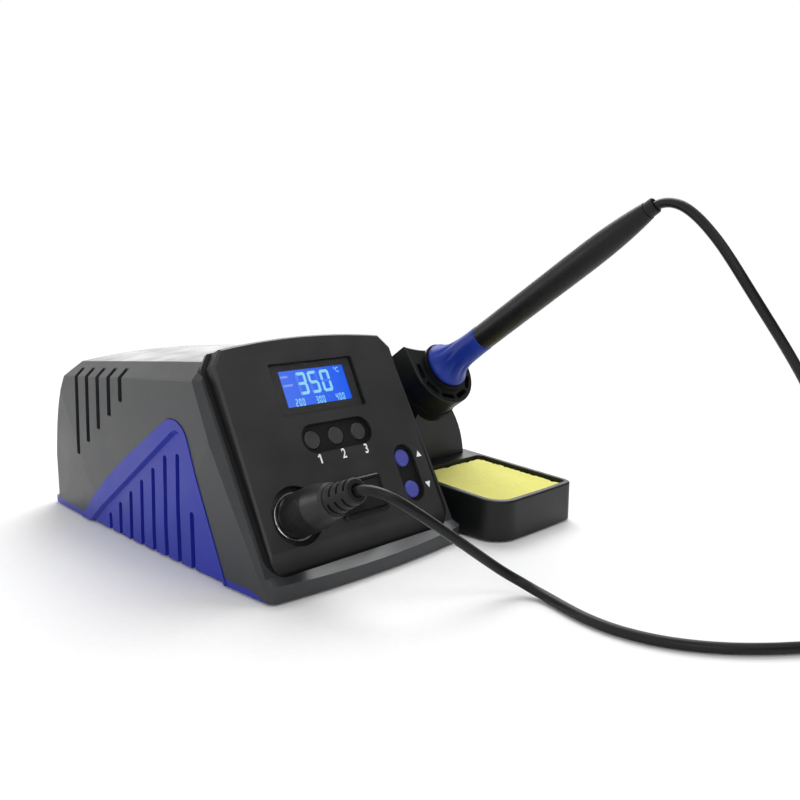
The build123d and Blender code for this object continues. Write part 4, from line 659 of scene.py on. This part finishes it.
def raised_mesh(name, form, out):
    """Gives flat cells, drawn in millimetres on the panel's frame, their thickness and their place."""
    extruded = bmesh.ops.extrude_face_region(form, geom=form.faces[:])
    top = [g for g in extruded["geom"] if isinstance(g, bmesh.types.BMVert)]
    bmesh.ops.translate(form, vec=(0, 0, INK), verts=top)
    bmesh.ops.scale(form, vec=(MM, MM, MM), verts=form.verts)
    bmesh.ops.transform(form, matrix=panel_matrix(0, 0, out), verts=form.verts)
    return finish_mesh(name, form)


def figure_row(name, digits, width, height, thick, out, states):
    """Seven segment figures at their places (left, foot): the lit segments, and the faint ones if asked."""
    for state, material in states:
        form = bmesh.new()
        for digit, x, y in digits:
            spots = {
                "a": (width / 2, height - thick / 2, False), "g": (width / 2, height / 2, False),
                "d": (width / 2, thick / 2, False), "f": (thick / 2, UPPER * height, True),
                "e": (thick / 2, LOWER * height, True), "b": (width - thick / 2, UPPER * height, True),
                "c": (width - thick / 2, LOWER * height, True),
            }
            for letter, (sx, sy, upright) in spots.items():
                if (letter in SEGMENTS[digit]) == (state == "lit"):
                    length = UPRIGHT * height if upright else width - 0.5 * thick
                    segment(form, x + sx, y + sy, length, thick, upright)
        piece_name = f"{name}_{state}"
        make_object(piece_name, raised_mesh(piece_name, form, out), material, "root")


print("figures known:", "".join(SEGMENTS))

# %% [markdown]
# The printed figure 1 is a plain stem with a short flag, so two of the same segments make it.

# %% Figure 1
one = bmesh.new()
segment(one, -11.2, 51.8, 4.2, 0.85, True)
stem = set(one.verts)
segment(one, 0, 0, 1.7, 0.8, False)
flag = [vertex for vertex in one.verts if vertex not in stem]
bmesh.ops.rotate(one, cent=(0, 0, 0), matrix=Matrix.Rotation(math.radians(38), 3, "Z"), verts=flag)
bmesh.ops.translate(one, vec=(-11.8, 53.2, 0), verts=flag)
make_object("legend_key_1", raised_mesh("legend_key_1", one, 0.0), ink, "root")

# %% [markdown]
# The figures lie on the glass of the display, so its face is measured first, out from the panel's.

# %% Display
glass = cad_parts["lcd_glass"].data
glass_out = max((vertex.co - on_panel(0, 0)).dot(panel_out) for vertex in glass.vertices) / MM
print("display glass lies", round(-glass_out, 2), "mm behind the panel's face")
set_foot, preset_foot = 81.1, 76.3  # feet of the two rows of figures, up the panel's slope
preset_digit_pitch = 1.85
figure_row("display_set", [("3", -8.7, set_foot), ("5", -2.2, set_foot), ("0", 4.5, set_foot)], 5.3, 10.2,
           1.35, glass_out, (("lit", display_cyan), ("faint", display_ghost)))
for i, (number, left) in enumerate((("200", -12.6), ("300", -1.4), ("400", 9.9))):
    row = [(digit, left + preset_digit_pitch * k, preset_foot) for k, digit in enumerate(number)]
    figure_row(f"display_preset_{i + 1}", row, 1.3, 3.3, 0.4, glass_out, (("lit", display_cyan),))
printed_word("display_unit", "\u00b0C", 14.6, 90.4, 2.4, glass_out, display_cyan)
bars = bmesh.new()
for left, right, v in ((-16.8, -12.7, 89.9), (-16.5, -11.1, 86.0)):
    segment(bars, (left + right) / 2, v, right - left, 1.0, False)
make_object("display_bars", raised_mesh("display_bars", bars, glass_out), display_pale, "root")

# %% [markdown]
# ## Grip
# The grip is a soft silicone sleeve with a broad flange that keeps the fingers off the heat.  Moulded folds
# run from the flange into the sleeve, with a slight twist.  Its outline is spun round the iron's axis, and
# the folds are then pressed in, deepest where the flange turns into the sleeve.

# %% Iron's axis
iron_lean = math.radians(34.4)
iron_start = MM * Vector((59.8, -17.7356, 73.7))
iron_along = Vector((0, -math.cos(iron_lean), math.sin(iron_lean)))


def on_iron():
    """Places a piece that was turned about x on the iron's axis, from the back of the grip's flange."""
    matrix = Matrix((iron_along, across, iron_along.cross(across))).transposed().to_4x4()
    matrix.translation = iron_start
    return matrix


def spun(outline, steps):
    """Solid turned about x from a closed outline of (along, radius) points in millimetres."""
    form = bmesh.new()
    ring = [form.verts.new((along, radius, 0)) for along, radius in outline]
    edges = [form.edges.new((a, b)) for a, b in zip(ring, ring[1:] + ring[:1])]
    bmesh.ops.spin(form, geom=ring + edges, cent=(0, 0, 0), axis=(1, 0, 0), dvec=(0, 0, 0),
                   angle=2 * math.pi, steps=steps, use_merge=True)
    return form


print("iron leans back", round(math.degrees(iron_lean), 1), "degrees")

# %% Grip
grip_outline = [
    (0, 5.4), (0, 10.9), (0.25, 11.4), (0.75, 11.75), (1.4, 11.9), (2.1, 11.75), (2.8, 11.3), (3.6, 10.65),
    (4.6, 9.95), (5.8, 9.3), (7.2, 8.75), (8.8, 8.25), (10.6, 7.85), (12.6, 7.5), (14.8, 7.2), (17.2, 6.95),
    (19.8, 6.78), (22.6, 6.65), (25.6, 6.6), (28.8, 6.58), (29.3, 6.5), (29.5, 6.25), (29.5, 5.4),
]
FOLDS = 9
fold_depth, fold_twist = 0.55, 0.035  # millimetres, and radians of twist for each millimetre along
fold_from, fold_length = 2.0, 20.0  # along the grip, in millimetres
grip_bore = 6.0                # what is nearer to the axis than this stays round
grip_form = spun(grip_outline, steps=144)
for vertex in grip_form.verts:
    along, y, z = vertex.co
    radius, angle = math.hypot(y, z), math.atan2(z, y)
    reach = min(max((along - fold_from) / fold_length, 0), 1)
    press = fold_depth * math.sin(math.pi * reach ** 0.6) ** 2 if radius > grip_bore else 0
    wave = 0.5 + 0.5 * math.cos(FOLDS * (angle + fold_twist * along))
    vertex.co.y, vertex.co.z = [c * (1 - press * wave ** 2 / radius) for c in (y, z)]
bmesh.ops.scale(grip_form, vec=(MM, MM, MM), verts=grip_form.verts)
bmesh.ops.transform(grip_form, matrix=on_iron(), verts=grip_form.verts)
grip = make_object("silicone_grip", finish_mesh("silicone_grip", grip_form), grip_silicone, "iron")
smooth(grip, 50)
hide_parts("iron_grip")
print("grip faces:", len(grip.data.polygons))

# %% [markdown]
# ## Plug
# The plug has an oval patch of fine ribs on each side, for thumb and finger.  Each rib is a short bar bent
# round the body: a profile spun through part of a turn.  The bars shorten towards the ends of the oval.

# %% Thumb ribs
plug_matrix = Matrix((panel_out, across, panel_out.cross(across))).transposed().to_4x4()
plug_matrix.translation = on_panel(-31.0, 31.4)
PLUG_RADIUS = 9.1
RIBS = 8
rib_middle, oval_length, oval_angle = 10.5, 8.0, 34  # out along the plug, and half the widest rib in degrees
rib_foot, rib_top = PLUG_RADIUS - 0.1, PLUG_RADIUS + 0.22
rib_outline = ((-0.3, rib_foot), (-0.18, rib_top), (0.18, rib_top), (0.3, rib_foot))
for side in (0, 180):
    ribs = bmesh.new()
    for i in range(RIBS):
        offset = (2 * i + 1 - RIBS) / RIBS
        half_angle = oval_angle * math.sqrt(1 - offset * offset)
        middle = rib_middle + oval_length / 2 * offset
        profile = [ribs.verts.new((middle + x, r, 0)) for x, r in rib_outline]
        face = ribs.faces.new(profile)
        bmesh.ops.rotate(ribs, cent=(0, 0, 0), verts=profile,
                         matrix=Matrix.Rotation(math.radians(side + 180 - half_angle), 3, "X"))
        bmesh.ops.spin(ribs, geom=[face] + face.edges[:] + face.verts[:], cent=(0, 0, 0), axis=(1, 0, 0),
                       dvec=(0, 0, 0), angle=math.radians(2 * half_angle), steps=8, use_duplicate=False)
    bmesh.ops.scale(ribs, vec=(MM, MM, MM), verts=ribs.verts)
    bmesh.ops.transform(ribs, matrix=plug_matrix, verts=ribs.verts)
    name = "thumb_ribs_left" if side == 0 else "thumb_ribs_right"
    make_object(name, finish_mesh(name, ribs), plug_plastic, "plug")
print("ribs on each side:", RIBS)

# %% [markdown]
# ## Sponge
# The sponge is cut from a block, so its top is flat but its edges are ragged and its pores are open.  The
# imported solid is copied, remeshed to an even skin, and then every point is moved inwards: a little for the
# small pores, more for the few big bubbles, and most along the cut edges.

# %% Damp sponge
def sponge_mesh():
    """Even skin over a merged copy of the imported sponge."""
    form = bmesh.new()
    form.from_mesh(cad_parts["sponge"].data)
    block = bpy.data.objects.new("sponge_block", finish_mesh("sponge_block", form))
    bpy.context.scene.collection.objects.link(block)
    remesh = block.modifiers.new("even_skin", "REMESH")
    remesh.mode = "VOXEL"
    remesh.voxel_size = 0.7 * MM
    graph = bpy.context.evaluated_depsgraph_get()
    mesh = bpy.data.meshes.new_from_object(block.evaluated_get(graph))
    bpy.data.objects.remove(block)
    return mesh


sponge_low, sponge_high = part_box("sponge")
damp = sponge_mesh()
pore_pitch, bubble_pitch = 1.7, 5.5  # in millimetres, as are the depths
skin_depth, pore_depth, bubble_depth, ragged_depth = 0.15, 0.2, 1.6, 1.2
pore_reach, bubble_reach = 0.4, 0.42  # how far each reaches from its middle, as a share of its pitch
ragged_size, fray_size = 2.2, 0.9
edge_width = 2.5               # the ragged strip along the cut edges
moved = []
for vertex in damp.vertices:
    place = vertex.co / MM
    pore = max(0.0, pore_reach - noise.voronoi(place / pore_pitch)[0][0])
    bubble = max(0.0, bubble_reach - noise.voronoi(place / bubble_pitch + Vector((7, 3, 1)))[0][0])
    ragged = max(0.0, noise.noise(place / ragged_size)) + 0.5 * max(0.0, noise.noise(place / fray_size))
    near_edge = min(vertex.co.x - sponge_low.x, sponge_high.x - vertex.co.x, vertex.co.y - sponge_low.y,
                    sponge_high.y - vertex.co.y) / MM
    worn = max(0.0, 1 - near_edge / edge_width)
    depth = pore_depth * pore + bubble_depth * bubble * bubble + skin_depth + ragged_depth * ragged * worn
    moved.append(vertex.co - vertex.normal * depth * MM)
for vertex, place in zip(damp.vertices, moved):
    vertex.co = place
pad = make_object("damp_sponge", damp, sponge_cellulose, "sponge")
smooth(pad, 60)
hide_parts("sponge")
print("sponge faces:", len(pad.data.polygons))

# %% [markdown]
# ## Bench and light
# The bench is a pale matt board.  Near the set it is an ordinary surface that takes the shadow, and further
# out it blends to plain white for the camera and in reflections, so there is no horizon.

# %% Bench
bench_form = bmesh.new()
bench_radius, bench_gap = 4.0, 0.2 * MM  # the gap keeps its face apart from the feet's
bmesh.ops.create_circle(bench_form, cap_ends=True, segments=96, radius=bench_radius)
bmesh.ops.translate(bench_form, vec=(0, 0, -bench_gap), verts=bench_form.verts)
bench = bpy.data.objects.new("bench", finish_mesh("bench", bench_form))
bpy.context.scene.collection.objects.link(bench)
# a board under matt white paint
bench_board, bench_tree, bench_shader, bench_place = new_material("painted_board_white")
speck = add_node(bench_tree, "ShaderNodeTexNoise", {"Scale": 1 / (3 * MM), "Detail": 2.0},
                 {"Vector": bench_place})
paint = add_node(bench_tree, "ShaderNodeMix", {"A": linear("#f3f3f3"), "B": linear("#f8f8f8")},
                 {"Factor": speck.outputs["Fac"]}, data_type="RGBA")
bench_tree.links.new(paint.outputs["Result"], bench_shader.inputs["Base Color"])
bench_shader.inputs["Roughness"].default_value = 0.85
bench_shader.inputs["Specular IOR Level"].default_value = 0.1
blend_from, blend_to = 0.25, 0.75  # metres from the middle
away = add_node(bench_tree, "ShaderNodeVectorMath", links={"Vector": bench_place}, operation="LENGTH")
far = add_node(bench_tree, "ShaderNodeMapRange", {"From Min": blend_from, "From Max": blend_to},
               {"Value": away.outputs["Value"]}, interpolation_type="SMOOTHSTEP")


def seen_rays(tree):
    """One where a ray comes from the camera, a mirror or glass, and nothing where it carries light."""
    path = add_node(tree, "ShaderNodeLightPath")
    first = add_node(tree, "ShaderNodeMath", operation="MAXIMUM")
    tree.links.new(path.outputs["Is Camera Ray"], first.inputs[0])
    tree.links.new(path.outputs["Is Glossy Ray"], first.inputs[1])
    both = add_node(tree, "ShaderNodeMath", operation="MAXIMUM")
    tree.links.new(first.outputs["Value"], both.inputs[0])
    tree.links.new(path.outputs["Is Transmission Ray"], both.inputs[1])
    return both.outputs["Value"]


white = add_node(bench_tree, "ShaderNodeEmission", {"Color": (1, 1, 1, 1), "Strength": 1.0})
share = add_node(bench_tree, "ShaderNodeMath", operation="MULTIPLY")
bench_tree.links.new(far.outputs["Result"], share.inputs[0])
bench_tree.links.new(seen_rays(bench_tree), share.inputs[1])
blend = add_node(bench_tree, "ShaderNodeMixShader")
bench_tree.links.new(share.outputs["Value"], blend.inputs[0])
bench_tree.links.new(bench_shader.outputs["BSDF"], blend.inputs[1])
bench_tree.links.new(white.outputs["Emission"], blend.inputs[2])
bench_output = next(n for n in bench_tree.nodes if n.type == "OUTPUT_MATERIAL")
bench_tree.links.new(blend.outputs["Shader"], bench_output.inputs["Surface"])
bench.data.materials.append(bench_board)
print("bench radius in m:", bench_radius)

# %% [markdown]
# Two big soft boxes, one above and one low behind to the right, give the roof and the sill their pale shine.
# A small weak one at the left rear adds a little to the side, and two weak lamps open the shadows at the
# front.

# %% Lights
def area_lamp(name, place, target, width, depth, power):
    """Soft rectangular lamp at a place, turned to its target: sizes in metres, power in watts."""
    data = bpy.data.lights.new(name, "AREA")
    data.shape = "RECTANGLE"
    data.size, data.size_y = width, depth
    data.energy = power
    lamp = bpy.data.objects.new(name, data)
    bpy.context.scene.collection.objects.link(lamp)
    lamp.location = place
    lamp.rotation_euler = (Vector(target) - Vector(place)).to_track_quat("-Z", "Y").to_euler()
    lamp.visible_camera = False
    return lamp


area_lamp("softbox_above", (0.5, 0.4, 1.0), (0, 0, 0), 0.9, 0.9, 12)
area_lamp("softbox_behind", (1.1, 1.3, 0.36), (0, 0.05, 0.08), 1.5, 0.62, 5.2)
area_lamp("softbox_left_rear", (-0.62, 0.62, 0.28), (-0.06, 0.08, 0.04), 0.35, 0.3, 1.0)
area_lamp("fill_front_left", (-0.9, -1.0, 0.7), (0, 0, 0.05), 0.8, 0.8, 5)
area_lamp("fill_front_above", (0.1, -0.9, 1.2), (0, 0, 0.05), 0.6, 0.6, 3)
print("lamps:", len(bpy.data.lights))

# %% [markdown]
# The room is white where it is seen.  Its front is dim in reflections, as the dark half of a studio is,
# which is what keeps black plastic black.

# %% Room
room_glow, room_dim = 0.45, 0.12  # what it sheds on matt surfaces, and what its front shows in a mirror
dim_side = (0.2, -0.98, 0)     # the dim half lies this way
world = bpy.data.worlds.new("white_room")
bpy.context.scene.world = world
world.use_nodes = True
room = world.node_tree
room_light = room.nodes["Background"]
room_light.inputs["Color"].default_value = (1, 1, 1, 1)
facing = add_node(room, "ShaderNodeVectorMath", operation="DOT_PRODUCT")
room.links.new(add_node(room, "ShaderNodeTexCoord").outputs["Generated"], facing.inputs[0])
facing.inputs[1].default_value = dim_side
mirrored = add_node(room, "ShaderNodeMapRange",
                    {"From Min": -0.2, "From Max": 0.55, "To Min": 1.0, "To Max": room_dim},
                    {"Value": facing.outputs["Value"]})
path = add_node(room, "ShaderNodeLightPath")
seen = add_node(room, "ShaderNodeMapRange", {"To Min": room_glow, "To Max": 1.0},
                {"Value": seen_rays(room)})
strength = add_node(room, "ShaderNodeMix", {},
                    {"Factor": path.outputs["Is Glossy Ray"], "A": seen.outputs["Result"],
                     "B": mirrored.outputs["Result"]}, data_type="FLOAT")
room.links.new(strength.outputs["Result"], room_light.inputs["Strength"])
bpy.context.scene.view_settings.view_transform = "Standard"
print("view transform:", bpy.context.scene.view_settings.view_transform)
